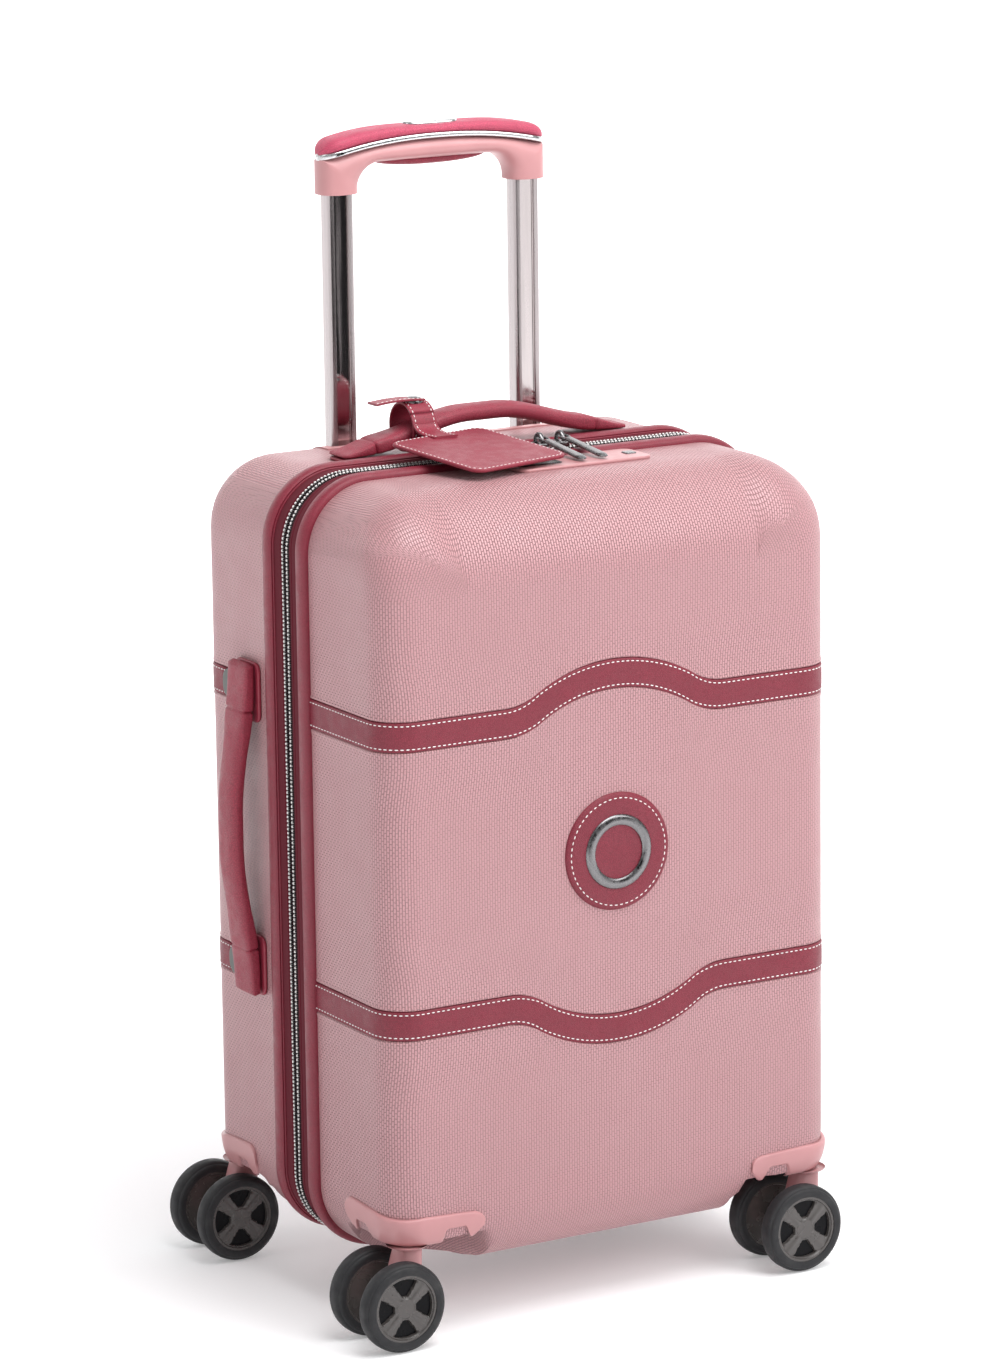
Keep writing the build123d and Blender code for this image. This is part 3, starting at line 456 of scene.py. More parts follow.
def end_caps(grid, middles):
    """The first and the last section of a grid closed to their middles."""
    return [np.stack([grid[k], np.broadcast_to(middles[k], grid[k].shape)]) for k in (0, -1)]


def along_path(path, sections, normals):
    """Sections carried along a path: first number along the normal, second along the normal crossed with
    the tangent."""
    tangent = np.gradient(path, axis=0)
    tangent /= np.linalg.norm(tangent, axis=1, keepdims=True)
    return carried(path, sections, normals, np.cross(normals, tangent))


def oval(half_thick, half_wide, power, around=28):
    """Superellipse sections |n|^p + |b|^p = 1, one per station."""
    angle = np.linspace(0, 2 * np.pi, around + 1)
    c, s = np.cos(angle), np.sin(angle)
    share = 2.0 / np.atleast_1d(power)[:, None]
    n = np.sign(c) * np.abs(c) ** share * np.atleast_1d(half_thick)[:, None]
    b = np.sign(s) * np.abs(s) ** share * np.atleast_1d(half_wide)[:, None]
    return np.stack([n, b], axis=-1)


def stitches(path, normals, pitch=3.7, length=2.8, radius=0.40, sink=0.10):
    """Short rounded bars spaced along a path: each is a circle carried along its own short line, its
    radius and height following half a sine so that the ends dip into the surface."""
    steps = np.linalg.norm(np.diff(path, axis=0), axis=1)
    travelled = np.concatenate([[0], np.cumsum(steps)])
    count = max(1, int(round(travelled[-1] / pitch)))
    spots = (np.arange(count) + 0.5) * travelled[-1] / count
    along = np.linspace(-0.5, 0.5, 5)
    where = np.clip(spots[:, None] + along[None, :] * length, 0, travelled[-1])
    centre = np.stack([np.interp(where, travelled, path[:, k]) for k in range(3)], axis=-1)
    up = np.stack([np.interp(where, travelled, normals[:, k]) for k in range(3)], axis=-1)
    up /= np.linalg.norm(up, axis=-1, keepdims=True)
    way = centre[:, -1:] - centre[:, :1]
    way = np.broadcast_to(way / np.linalg.norm(way, axis=-1, keepdims=True), centre.shape)
    aside = np.cross(way, up)
    bulge = np.sqrt(np.clip(1 - (2 * along) ** 2, 0, 1))[None, :, None, None]
    angle = np.linspace(0, 2 * np.pi, 7)[None, None, :, None]
    ring = np.cos(angle) * up[:, :, None, :] + np.sin(angle) * aside[:, :, None, :]
    lifted = centre + up * (-sink - 0.5 * radius * (1 - bulge[:, :, :, 0]))
    return list(lifted[:, :, None, :] + ring * radius * bulge)


# ---------------------------------------------------------------- the skin of one half of the case
half_shapes = {
    -1: {"wall_y": front_y, "rim_y": front_rim, "side": 24.0, "top": 58.0, "low": 40.0},
    1: {"wall_y": back_y, "rim_y": back_rim, "side": 24.0, "top": 31.0, "low": 31.0},
}
face_x = half_width - reach
face_z = height / 2 - reach


def bow(x, rise):
    """Height of a band's middle over its straight run: a broad arc between two tangent fillets."""
    slope = 2 * math.atan2(abs(rise), wave_half)
    foot = (wave_half - wave_arc_half) / math.sin(slope)
    arc = wave_arc_half / math.sin(slope)
    x = np.abs(x)
    outer = foot - np.sqrt(np.clip(foot**2 - np.clip(wave_half - x, 0, None) ** 2, 0, None))
    inner = abs(rise) - arc + np.sqrt(np.clip(arc**2 - x**2, 0, None))
    return math.copysign(1, rise) * np.where(x > wave_half, 0, np.where(x > wave_arc_half, outer, inner))


def skin(side, x, p, z, q, lift=0.0, shape=None, inset=0.0):
    """Points and outward directions on one half of the case.

    x and z place a point on the flat middle.  p and q take it outwards, sideways or up and down: 0 to 1
    over the rest of the flat, 1 to 2 round the roll, 2 to 3 along the wall to the rim.  In a corner the
    larger of the two is the distance and their ratio the place on the rounded outline.  lift moves a
    point along its outward direction, inset against it.  Over the casters the skin is raised to clear
    them.
    """
    shape = shape or half_shapes[side]
    x, p, z, q, lift = np.broadcast_arrays(x, p, z, q, lift)
    x, p, z, q = (np.asarray(v, float) for v in (x, p, z, q))
    big_p, big_q = np.abs(p), np.abs(q)
    far = np.maximum(big_p, big_q)
    with np.errstate(divide="ignore", invalid="ignore"):
        turn = np.where(big_p >= big_q, 0.5 * big_q / big_p, 1 - 0.5 * big_p / big_q)
    turn = np.where(far == 0, 0, turn)
    straight = reach - corner_radius
    arc = corner_radius * math.pi / 2
    travelled = turn * (2 * straight + arc)
    angle = np.clip((travelled - straight) / corner_radius, 0, math.pi / 2)
    out_x, out_z = np.cos(angle), np.sin(angle)
    reach_x = straight + corner_radius * out_x - np.clip(travelled - straight - arc, 0, None)
    reach_z = corner_radius * out_z + np.clip(travelled, 0, straight)
    reach_x = np.where(turn >= 1, 0, reach_x)
    reach_z = np.where(turn <= 0, 0, reach_z)
    roll = shape["side"] + (np.where(q < 0, shape["low"], shape["top"]) - shape["side"]) * ease(turn)
    depth = abs(shape["rim_y"] - shape["wall_y"])
    span = np.hypot(reach_x, reach_z)
    span = np.where(span == 0, reach, span)
    bend = np.clip(far - 1, 0, 1) * math.pi / 2
    edge = np.where(far < 1, span + (roll - span) * far, roll * (1 - np.sin(bend)))
    share = 1 - edge / span
    share = np.where(far == 0, 0, share)
    back = roll * (1 - np.cos(bend)) + (depth - roll) * np.clip(far - 2, 0, 1)
    sign_x, sign_z = np.sign(p), np.sign(q)
    points = np.stack(
        [x + sign_x * reach_x * share, shape["wall_y"] - side * back, z + sign_z * reach_z * share], axis=-1
    )
    side_on = np.sin(bend) * (far >= 1)
    out = np.stack([sign_x * out_x * side_on, side * np.cos(bend), sign_z * out_z * side_on], axis=-1)
    out /= np.linalg.norm(out, axis=-1, keepdims=True)
    points = points + out * (lift - inset)[..., None]
    away = np.hypot(np.abs(points[..., 0]) - stem_x, np.abs(points[..., 1]) - stem_y)
    near_well = ease((well_radius + 7 + 1.8 * inset - away) / 10)
    floor = shell_bottom + inset + (guard_z + 3.5 + inset - shell_bottom) * near_well
    points[..., 2] = np.maximum(points[..., 2], floor)
    return points, out


# steps out over the rest of the flat, round the roll and along the wall
outward = np.concatenate([k + np.linspace(0, 1, count)[1:] for k, count in enumerate((5, 12, 15))])


def ways(flat):
    """Columns or rows from rim to rim: the outward steps, the flat's own places, the outward steps."""
    steps = len(outward)
    place = np.concatenate([np.full(steps, flat[0]), flat, np.full(steps, flat[-1])])
    out = np.concatenate([-outward[::-1], np.zeros(len(flat)), outward])
    return place, out


def band_row_places():
    """Heights of the rows: close together at the bands' edges, wider between."""
    near = np.array([-26, -19, -14, -12.4, -11.6, -11.0, -10.4, -9.9, -9.4, -6, 0])
    near = np.concatenate([near, -near[-2::-1]])
    rows = [mid + near for mid in band_mid.values()]
    spare = [
        np.linspace(middle_z - face_z, band_mid["lower"] - 34, 8),
        np.linspace(band_mid["lower"] + 34, band_mid["upper"] - 34, 15),
        np.linspace(band_mid["upper"] + 34, middle_z + face_z, 7),
    ]
    return np.sort(np.concatenate(rows + spare))


def swept_rows(rows, x):
    """Rows bent along with the nearer band, the bend fading out away from it; and each row's distance
    from that band's middle."""
    shift = np.zeros((len(rows), len(x)))
    offset = np.full(len(rows), 1e3)
    for level, mid in band_mid.items():
        gap = rows - mid
        hold = ease(1 - (np.abs(gap) - 16) / 62)
        shift += hold[:, None] * bow(x, wave_up[level])[None, :]
        offset = np.where(np.abs(gap) < np.abs(offset), gap, offset)
    return rows[:, None] + shift, offset


mouth_x, mouth_y = 88.4, (88.0, 121.0)      # where the pull handle's bezel sits
mouth = ((-mouth_x, mouth_y[0], 495.0), (mouth_x, mouth_y[1], 560.0))


def shell_piece(side, name, body, replaces):
    """Outer skin of one half: a groove under each band with a small bead along both its edges, and a map
    of lengths measured from the middle row and column."""
    rows, out_rows = ways(band_row_places())
    flat = np.sort(np.concatenate([np.linspace(-face_x, face_x, 53), [-mouth_x, mouth_x]]))
    columns, out_columns = ways(flat)
    bent, offset = swept_rows(rows, columns)
    from_band = np.abs(offset)
    seam = -1.3 * ease((10.3 - from_band) / 0.8) + 0.5 * np.exp(-(((from_band - 11.2) / 0.9) ** 2))
    seam = np.where(out_rows == 0, seam, 0)[:, None] * np.ones(len(columns))[None, :]
    plain, _ = skin(side, columns[None, :], out_columns[None, :], bent, out_rows[:, None])
    if side > 0:
        seam = np.where((plain[..., 0] < -face_x) & (plain[..., 1] < 74), 0, seam)
    points, _ = skin(side, columns[None, :], out_columns[None, :], bent, out_rows[:, None], seam)
    laid = []
    for way in (1, 0):
        steps = np.linalg.norm(np.diff(plain, axis=way), axis=2)
        nothing = np.zeros_like(steps[:, :1] if way else steps[:1])
        gone = np.concatenate([nothing, np.cumsum(steps, axis=way)], axis=way)
        laid.append((gone - np.take(gone, [gone.shape[way] // 2], axis=way)) * MM)
    lay(name, [points], finishes["shell"], body, replaces, wall=2.4,
        uv=[np.stack(laid, axis=-1)], smooth=50, hole=mouth if side > 0 else None)


bodies = {-1: "front_case", 1: "back_case"}
names = {-1: "front", 1: "back"}
for side, name in names.items():
    shell_piece(side, f"{name}_shell_skin", bodies[side], [f"{name}_shell"])

# ---------------------------------------------------------------- bands let into the shells
band_across = np.array([-9.7, -9.5, -9.1, -8.5, -5, 0, 5, 8.5, 9.1, 9.5, 9.7])
band_lift = np.array([-1.1, -0.1, 0.35, 0.5, 0.58, 0.6, 0.58, 0.5, 0.35, -0.1, -1.1])
side_band_start = {-1: 3.0, 1: 2.21}
seam_row = 7.5               # of the stitches, from the band's middle
for side, name in names.items():
    for level, mid in band_mid.items():
        flat = np.linspace(-face_x, face_x, 89)
        place, out = ways(flat)
        keep = out >= -side_band_start[side] - 1e-9
        place, out = place[keep], out[keep]
        middle = mid + bow(place, wave_up[level])
        slope = np.gradient(bow(flat, wave_up[level]), flat)
        slope = np.interp(place, flat, slope)[None, :] * (out == 0)[None, :]
        reach_up = np.sqrt(1 + slope**2)
        rows = middle[None, :] + band_across[:, None] * reach_up
        points, _ = skin(side, place[None, :], out[None, :], rows, 0.0, band_lift[:, None])
        lay(
            f"{name}_{level}_band_strip", [points], finishes["band"], bodies[side],
            [f"{name}_{level}_band"], wall=1.0,
        )
        seams = []
        number = np.arange(len(place))
        fine, fine_out, steep = (
            np.interp(np.linspace(0, number[-1], 900), number, row) for row in (place, out, reach_up[0])
        )
        for offset in (-seam_row, seam_row):
            row = mid + bow(fine, wave_up[level]) + offset * steep
            seams += stitches(*skin(side, fine, fine_out, row, 0.0, 0.62))
        lay(f"{name}_{level}_band_stitches", seams, finishes["white"], bodies[side])

# ---------------------------------------------------------------- lining, seen when the case is open
lining_gap = 4.4
for side, name in names.items():
    shape = dict(half_shapes[side])
    if side > 0:
        shape["wall_y"] = box_mm("back_lining")[1][1] + lining_gap
    place, out = ways(np.sort(np.concatenate([np.linspace(-face_x, face_x, 25), [-mouth_x, mouth_x]])))
    high, out_high = ways(np.linspace(middle_z - face_z, middle_z + face_z, 31))
    folds = 0.5 * np.sin(place * 0.09)[None, :] * np.sin(high * 0.05)[:, None]
    points, _ = skin(
        side, place[None, :], out[None, :], high[:, None], out_high[:, None], folds, shape, lining_gap
    )
    piece = lay(f"{name}_lining_cloth", [points[:, ::-1]], finishes["lining"], bodies[side],
                [f"{name}_lining"], wall=0.6, hole=mouth if side > 0 else None)

# ---------------------------------------------------------------- hoops round the closing plane


def hoop_path(samples=None):
    """Outline of the case in the closing plane, with outward directions, at even steps; unless samples
    is given, at the outline's own points as well."""
    outline, out = rounded_outline(2 * half_width, height, corner_radius, per_corner=26)
    points = np.stack([outline[:, 0], np.full(len(outline), closing_y), outline[:, 1] + middle_z], axis=1)
    normals = np.stack([out[:, 0], np.zeros(len(out)), out[:, 1]], axis=1)
    steps = np.linalg.norm(np.diff(points, axis=0), axis=1)
    travelled = np.concatenate([[0], np.cumsum(steps)])
    at = np.linspace(0, travelled[-1], samples or 120)
    if samples is None:
        at = np.unique(np.concatenate([travelled, at]))
    points = np.stack([np.interp(at, travelled, points[:, k]) for k in range(3)], axis=1)
    normals = np.stack([np.interp(at, travelled, normals[:, k]) for k in range(3)], axis=1)
    return points, normals / np.linalg.norm(normals, axis=1, keepdims=True)


def hoop(side, profile):
    """A profile of (distance from the closing plane, height over the wall) carried round the case."""
    path, out = hoop_path()
    profile = np.asarray(profile, float)
    grid = path[:, None, :] + out[:, None, :] * profile[None, :, 1:]
    grid[..., 1] += side * profile[None, :, 0]
    return grid


piping_half = 6.25
piping_centre = rim_reach + piping_half
for side, name in names.items():
    bend = np.linspace(0, np.pi, 15)
    roll = np.stack(
        [piping_centre - piping_half * np.cos(bend), piping_proud * np.sin(bend) ** 0.62], axis=1
    )
    # the stuffed roll, a stitched-down lip on its zip side and a closed underside
    lip = [(rim_reach + y, rise) for y, rise in ((-0.2, -0.8), (-0.2, 1.5), (0.3, 1.9), (0.9, 1.5))]
    profile = np.vstack([lip, roll[2:], [(roll[-1][0], -0.8)], lip[:1]])
    roll = lay(f"{name}_piping_roll", [hoop(side, profile)], finishes["piping"], bodies[side],
               [f"{name}_piping"])
    tape = [
        (3.4, -1.4), (3.4, 0.7), (4.0, 1.0), (6.6, 1.0), (7.0, 1.35), (7.6, 1.35), (8.0, 1.0),
        (rim_reach - 0.6, 1.0), (rim_reach - 0.3, 0.4), (rim_reach - 0.3, -1.4), (3.4, -1.4),
    ]
    lay(f"{name}_zip_tape_cloth", [hoop(side, tape)], finishes["tape"], bodies[side],
        [f"{name}_zip_tape"])
    path, out = hoop_path(1400)
    row = path + np.array([0, side * 2.9, 0]) + out * 1.85
    lay(f"{name}_zip_thread", stitches(row, out, 2.7, 2.5, 0.85), finishes["white"], bodies[side])
    # coil: one small bar across for each turn, standing in the gap between the threads
    spots, out = hoop_path(1060)
    spots, out = spots[:-1], out[:-1]
    across = np.array([0.2, 1.9, 3.6, 5.3])
    bulge = np.array([0.6, 1.0, 1.0, 0.5])
    rise = np.array([1.3, 1.55, 1.45, 1.0])
    centre = spots[:, None, :] + out[:, None, :] * rise[None, :, None]
    centre = centre + np.array([0, side, 0]) * across[None, :, None]
    way = np.cross(out, [0, 1, 0])
    turns = np.linspace(0, 2 * np.pi, 6)
    ring = (
        np.cos(turns)[None, None, :, None] * out[:, None, None, :]
        + np.sin(turns)[None, None, :, None] * way[:, None, None, :]
    )
    coil = centre[:, :, None, :] + ring * (0.5 * bulge)[None, :, None, None]
    lay(f"{name}_zip_coil", list(coil), finishes["coil"], bodies[side],
        [f"{name}_zip_teeth"], merge=False)

# ---------------------------------------------------------------- guards over the casters
guard_radius = 23.0
wing_length = 40.0           # roughly, of the guard on each side of the corner
for corner, (stem_at_x, stem_at_y) in stems.items():
    sign_x, sign_y = math.copysign(1, stem_at_x), math.copysign(1, stem_at_y)
    side = int(sign_y)
    body = bodies[side]
    low_roll = half_shapes[side]["low"]
    near_end = np.array([0, 0.05, 0.2, 0.45, 0.8, 1.3, 2.0, 2.9, 4.0, 5.2, 6.6, 8.0]) / wing_length
    between = [np.linspace(0.2, 1, 26), np.linspace(1, 2, 17), np.linspace(2, 2.8, 26)]
    s = np.unique(np.concatenate([near_end, *between, 3 - near_end]))
    t = np.array([0, 0.02, 0.05, 0.09, 0.15, 0.3, 0.5, 0.7, 0.83, 0.9, 0.95, 0.98, 1.0])
    # along the wing: hooked end, finger relief, drum round the stem, relief, hooked end
    from_end = np.minimum(s, 3 - s) * wing_length
    relief = ease((from_end - 9) / 4) * ease((31 - from_end) / 6)
    low_edge = guard_z + 1.0 + 9.0 * relief + 4.5 * ease((9 - from_end) / 9) * (1 - relief)
    tip = np.sqrt(np.clip(1 - np.clip(1 - from_end / 8, 0, 1) ** 2, 0, 1))
    top_edge = 81.5 + 6.0 * s / 3 - 1.5 * np.sin(np.clip(s - 1, 0, 1) * np.pi)
    middle = 0.5 * (low_edge + top_edge)
    low_edge = middle + (low_edge - middle) * (0.35 + 0.65 * tip)
    top_edge = middle + (top_edge - middle) * (0.15 + 0.85 * tip)
    z = low_edge[:, None] + (top_edge - low_edge)[:, None] * t[None, :]

    def inward(z, radius):
        """How far a wall has curved in at height z, below a roll of that radius."""
        drop = np.clip(shell_bottom + radius - z, 0, radius)
        return radius - np.sqrt(radius**2 - drop**2)

    rim_round = 1 - np.clip(np.abs(2 * t - 1) - 0.8, 0, 1) ** 2 * 25
    lift = -0.6 + 2.4 * np.sqrt(np.clip(rim_round, 0, 1))[None, :] * np.ones_like(z)
    lift[[0, -1]] = -0.6
    wall_x = half_width - inward(z, corner_radius) + lift
    wall_y = abs(half_shapes[side]["wall_y"]) - inward(z, low_roll) + lift
    start_x, end_y = abs(stem_at_x) - 50.0, abs(stem_at_y) - 50.0
    arc = np.clip(s - 1, 0, 1)[:, None] * np.pi / 2
    first, last = np.clip(s, 0, 1)[:, None], np.clip(s - 2, 0, 1)[:, None]
    plan_x = start_x + (wall_x - guard_radius - start_x) * first + guard_radius * np.sin(arc)
    plan_y = wall_y - guard_radius * (1 - np.cos(arc)) - (wall_y - guard_radius - end_y) * last
    wings = np.stack([sign_x * plan_x, sign_y * plan_y, z], axis=-1)
    # plate under the corner: from the drum's lower rim in to the stem's collar
    rim_line = wings[:, 0]
    shares = np.array([1.0, 0.97, 0.9, 0.6, 0.3, 0.2])
    hub = np.array([stem_at_x, stem_at_y, guard_z + 1.0])
    drum = rim_line[(s > 0.72) & (s < 2.28)]
    plate = hub + (drum[:, None, :] - hub) * shares[None, :, None]
    plate[..., 2] = hub[2] - 0.7 * np.sin(np.pi * np.clip((1 - shares) / 0.25, 0, 1))
    collar = turned(
        [(14.0, 1.6), (13.4, 0.7), (12.4, 0.2), (11.0, 0.0), (9.6, 0.0), (9.0, 0.5), (5.4, 0.6)],
        (stem_at_x, stem_at_y, guard_z), "z", 48,
    )
    lay(f"{corner}_guard_moulding", [wings], finishes["pink"], body, [f"{corner}_guard"],
        wall=2.2)
    lay(f"{corner}_guard_plate", [plate], finishes["pink"], body, wall=1.2)
    lay(f"{corner}_stem_collar", [collar], finishes["pink"], body)

# ---------------------------------------------------------------- casters
tyre_width = 13.5
face_out = 26.5              # of a wheel's outer face, from the stem's plane


def tyre_profile():
    """Outline of a tyre's section: bead, shouldered sides, stepped tread, from the outer face inwards."""
    side_steps = [(22.2, 0.4), (23.2, 0.1), (25.4, 0.0), (26.6, 0.25), (27.3, 0.9), (27.5, 1.6)]
    tread = [(28.3, 1.9), (28.9, 2.5), (29.3, 3.4), (29.5, 5.0)]
    half = side_steps + tread
    return half + [(r, tyre_width - y) for r, y in half[::-1]] + half[:1]


def rim_face():
    """Radius, angle and depth below the rim over a wheel's face: lip, dished ground, raised hub and four
    windows that widen towards the rim."""
    edges = [6.2, 6.9, 7.8, 9.0, 18.2, 19.0, 19.6, 20.1, 20.7, 21.4]
    r = np.unique(np.concatenate([np.linspace(0, 22.4, 22), edges]))
    radius, angle = np.meshgrid(r, np.linspace(0, 2 * np.pi, 97), indexing="ij")
    spoke = np.abs((angle - np.pi / 4) % (np.pi / 2))
    spoke = np.minimum(spoke, np.pi / 2 - spoke)
    lateral = radius * np.sin(spoke)
    spoke_half = 2.6 + 0.17 * radius
    window = ease((lateral - spoke_half) / 0.9) * ease((radius - 7.6) / 1.2) * ease((19.6 - radius) / 0.8)
    lip = ease((radius - 20.0) / 0.8)
    hub = ease((6.9 - radius) / 0.8)
    ridge = np.exp(-((lateral / 1.6) ** 2)) * (1 - window) * (1 - hub) * (1 - lip)
    depth = 0.9 + 1.2 * (1 - lip) - 0.5 * hub + 5.5 * window - 0.7 * ridge
    return radius, angle, depth


for corner, (stem_at_x, stem_at_y) in stems.items():
    low, high = box_mm(f"{corner}_tyres")
    axle = (low + high) / 2
    pair, fork = f"{corner}_wheel_pair", f"{corner}_fork"
    radius, angle, depth = rim_face()
    tyre_grids, rim_grids, window_shade_discs = [], [], []
    for way in (-1, 1):
        face = axle + np.array([0, way * face_out, 0])
        profile = [(r, -way * y) for r, y in tyre_profile()]
        tyre_grids.append(turned(profile, face, "y", 72))
        rim_grids.append(
            np.stack([radius * np.cos(angle), -way * depth, radius * np.sin(angle)], axis=-1) + face
        )
        inner = [(0, 13.0), (5.5, 13.0), (5.6, 12.2), (20.4, 12.2), (21.0, 13.0), (22.4, 13.0)]
        rim_grids.append(turned([(r, -way * y) for r, y in inner], face, "y", 72))
        # a near-black disc sunk behind the rim's windows: painted shade inside the wheel
        window_shade_discs.append(turned([(7.2, -way * 4.2), (19.9, -way * 4.2)], face, "y", 48))
    rim_grids.append(turned([(3, -17), (3, 17)], axle, "y", 24))
    lay(f"{corner}_rim_window_shade", window_shade_discs, finishes["dark"], pair)
    lay(f"{corner}_tyre_pair", tyre_grids, finishes["tyre"], pair, [f"{corner}_tyres"])
    lay(f"{corner}_rim_pair", rim_grids, finishes["rim"], pair, [f"{corner}_wheels"],
        smooth=30)
    # fork: upright neck that leans back to the axle, in oval sections
    drop = np.array([62.0, 61.4, 60, 54, 48, 44, 40, 36, 32, 28, 24, 21.5, 20.6])
    ahead = np.interp(drop, [20.5, 24, 29.5, 33, 46, 62], [0.3, 7.2, 9.0, 10.6, 24.1, 24.1]) + axle[0]
    behind = np.interp(drop, [20.5, 24, 29.5, 38, 46, 62], [-0.3, -7.2, -9.0, -7.6, 2.0, 7.1]) + axle[0]
    half = 0.5 * (ahead - behind)
    half_y = np.interp(drop, [20.5, 23, 60, 61.5, 62], [2.0, 8.0, 8.0, 7.4, 6.0])
    half = half * np.where(drop > 61.8, 0.85, 1.0)
    turn = np.linspace(0, 2 * np.pi, 33)
    c, d = np.cos(turn), np.sin(turn)
    grid = np.stack(
        [
            0.5 * (ahead + behind)[:, None] + half[:, None] * np.sign(c) * np.abs(c) ** 0.62,
            axle[1] + half_y[:, None] * np.sign(d) * np.abs(d) ** 0.62,
            np.broadcast_to(drop[:, None], (len(drop), 33)),
        ],
        axis=-1,
    )
    top = end_caps(grid, grid.mean(axis=1))[0]
    stem = turned([(5.0, 0), (5.0, 8)], (stem_at_x, stem_at_y, 61.5), "z", 32)
    lay(f"{corner}_fork_moulding", [grid, top, stem], finishes["pink"], fork, [fork])

# ---------------------------------------------------------------- badge
low, high = box_mm("badge_disc")
badge = np.array([(low[0] + high[0]) / 2, high[1], (low[2] + high[2]) / 2])
disc_rise = [(0, 2.0), (14, 2.0), (17.0, 2.1), (26, 2.3), (33, 2.35)]
disc_rise += [(36.5, 2.1), (38.2, 1.4), (38.9, 0.4), (39.0, -0.6)]
disc = turned([(r, -y) for r, y in disc_rise], badge, "y", 96)
lay("badge_leather", [disc], finishes["band"], "front_case", ["badge_disc"])
angle = np.linspace(0, 2 * np.pi, 400)
circle = badge + np.stack([35.4 * np.cos(angle), np.full(400, -2.25), 35.4 * np.sin(angle)], axis=1)
lay("badge_stitches", stitches(circle, np.tile([0.0, -1.0, 0.0], (400, 1)), pitch=4.0, length=2.9),
    finishes["white"], "front_case")
ring = [(17.8, -1.8), (17.8, -2.9), (18.4, -3.4), (19.4, -3.7), (22.6, -3.75), (23.9, -3.3)]
ring += [(24.6, -2.5), (24.7, -1.8), (17.8, -1.8)]
lay("badge_metal_ring", [turned(ring, badge, "y", 96)], finishes["gunmetal"], "front_case",
    ["badge_ring"])

# ---------------------------------------------------------------- telescopic tubes
low, high = box_mm("inner_tubes")
inner_tube = (19.0, 12.0, 2.2)      # width, depth and corner radius
tube_x, tube_y = high[0] - inner_tube[0] / 2, (low[1] + high[1]) / 2


def tube_sections(width, depth, corner):
    """The two edge strips and the two sunk middle faces of a rounded tube, as open lines in plan; each
    middle face has a fine groove near its right side."""
    outline, _ = rounded_outline(width, depth, corner, 7)
    flat = width / 2 - 4.2
    right = outline[outline[:, 0] > flat + 0.5]
    right = right[np.argsort(np.arctan2(right[:, 1], right[:, 0] - flat))]
    sink, half = 0.9, depth / 2
    right = np.vstack([[flat, -half + sink], [flat, -half], right, [flat, half], [flat, half - sink]])
    near_groove = flat - 1.6 + np.array([0, 0.15, 0.45, 0.6])
    across = np.concatenate([np.linspace(-flat, flat - 1.8, 9), near_groove, [flat]])
    groove = np.where((across > flat - 1.5) & (across < flat - 1.1), 0.5, 0.0)
    face = np.stack([across, -half + sink + groove], axis=1)
    return [right, right * [-1, 1]], [face, face * [1, -1]]


def tube_pair(sections, bottom, top):
    """Both tubes: each line of the section carried straight up."""
    rise = np.array([bottom, top])[:, None]
    grids = []
    for way in (-1, 1):
        for section in sections:
            flat = section + [way * tube_x, tube_y]
            grids.append(np.stack(np.broadcast_arrays(flat[None, :, 0], flat[None, :, 1], rise), axis=-1))
    return grids


middle_low, middle_high = box_mm("middle_tubes")
stages = {
    "pull": ("pull_handle", "inner_tubes", inner_tube, low[2], high[2] + 6),
    "stage": ("middle_tubes", "middle_tubes", (22.7, 15.7, 2.5), middle_low[2], middle_high[2]),
}
for name, (body, node, size, bottom, top) in stages.items():
    edges, faces = tube_sections(*size)
    lay(f"{name}_tube_faces", tube_pair(faces, bottom, top), finishes["tube"], body,
        smooth=30)
    lay(f"{name}_tube_edges", tube_pair(edges, bottom, top), finishes["tube_edge"], body,
        [node], smooth=30)

# ---------------------------------------------------------------- grip
body_low, body_high = box_mm("grip_body")
grip_half, grip_y, collar_z = body_high[0], tube_y, body_low[2]
grip_half_depth = 12.9


def trim_line(x):
    """Height of the middle of the bright strip: a broad crown that falls to both ends."""
    return 746.6 - 10.0 * np.clip(np.abs(x) / grip_half, 0, 1) ** 2.2


def band_over(low_line, high_line, half, power, name, finish, replaces):
    """A strip of the grip between two heights over its trim line: oval sections carried from end to end,
    their width following a half circle at both ends."""
    x = grip_half * np.sin(np.linspace(-np.pi / 2, np.pi / 2, 75))
    low_line, high_line = trim_line(x) + low_line(x), trim_line(x) + high_line(x)
    centre = np.stack([x, np.full_like(x, grip_y), 0.5 * (low_line + high_line)], axis=1)
    from_end = np.clip((grip_half - np.abs(x)) / half, 0, 1)
    half = half * np.sqrt(np.clip(1 - (1 - from_end) ** 2, 0.003, 1))
    sections = oval(0.5 * (high_line - low_line), half, np.full(75, power), 40)
    grid = carried(centre, sections, (0, 0, 1), (0, 1, 0))
    caps = end_caps(grid, centre)
    return lay(name, [grid] + caps, finishes[finish], "pull_handle", replaces, smooth=50)


def both_halves(x, z):
    """A line in the grip's plane from one leg's foot to the middle, carried on to the other foot."""
    return np.stack([np.concatenate([-x, x[-2::-1]]), np.concatenate([z, z[-2::-1]])], axis=1)


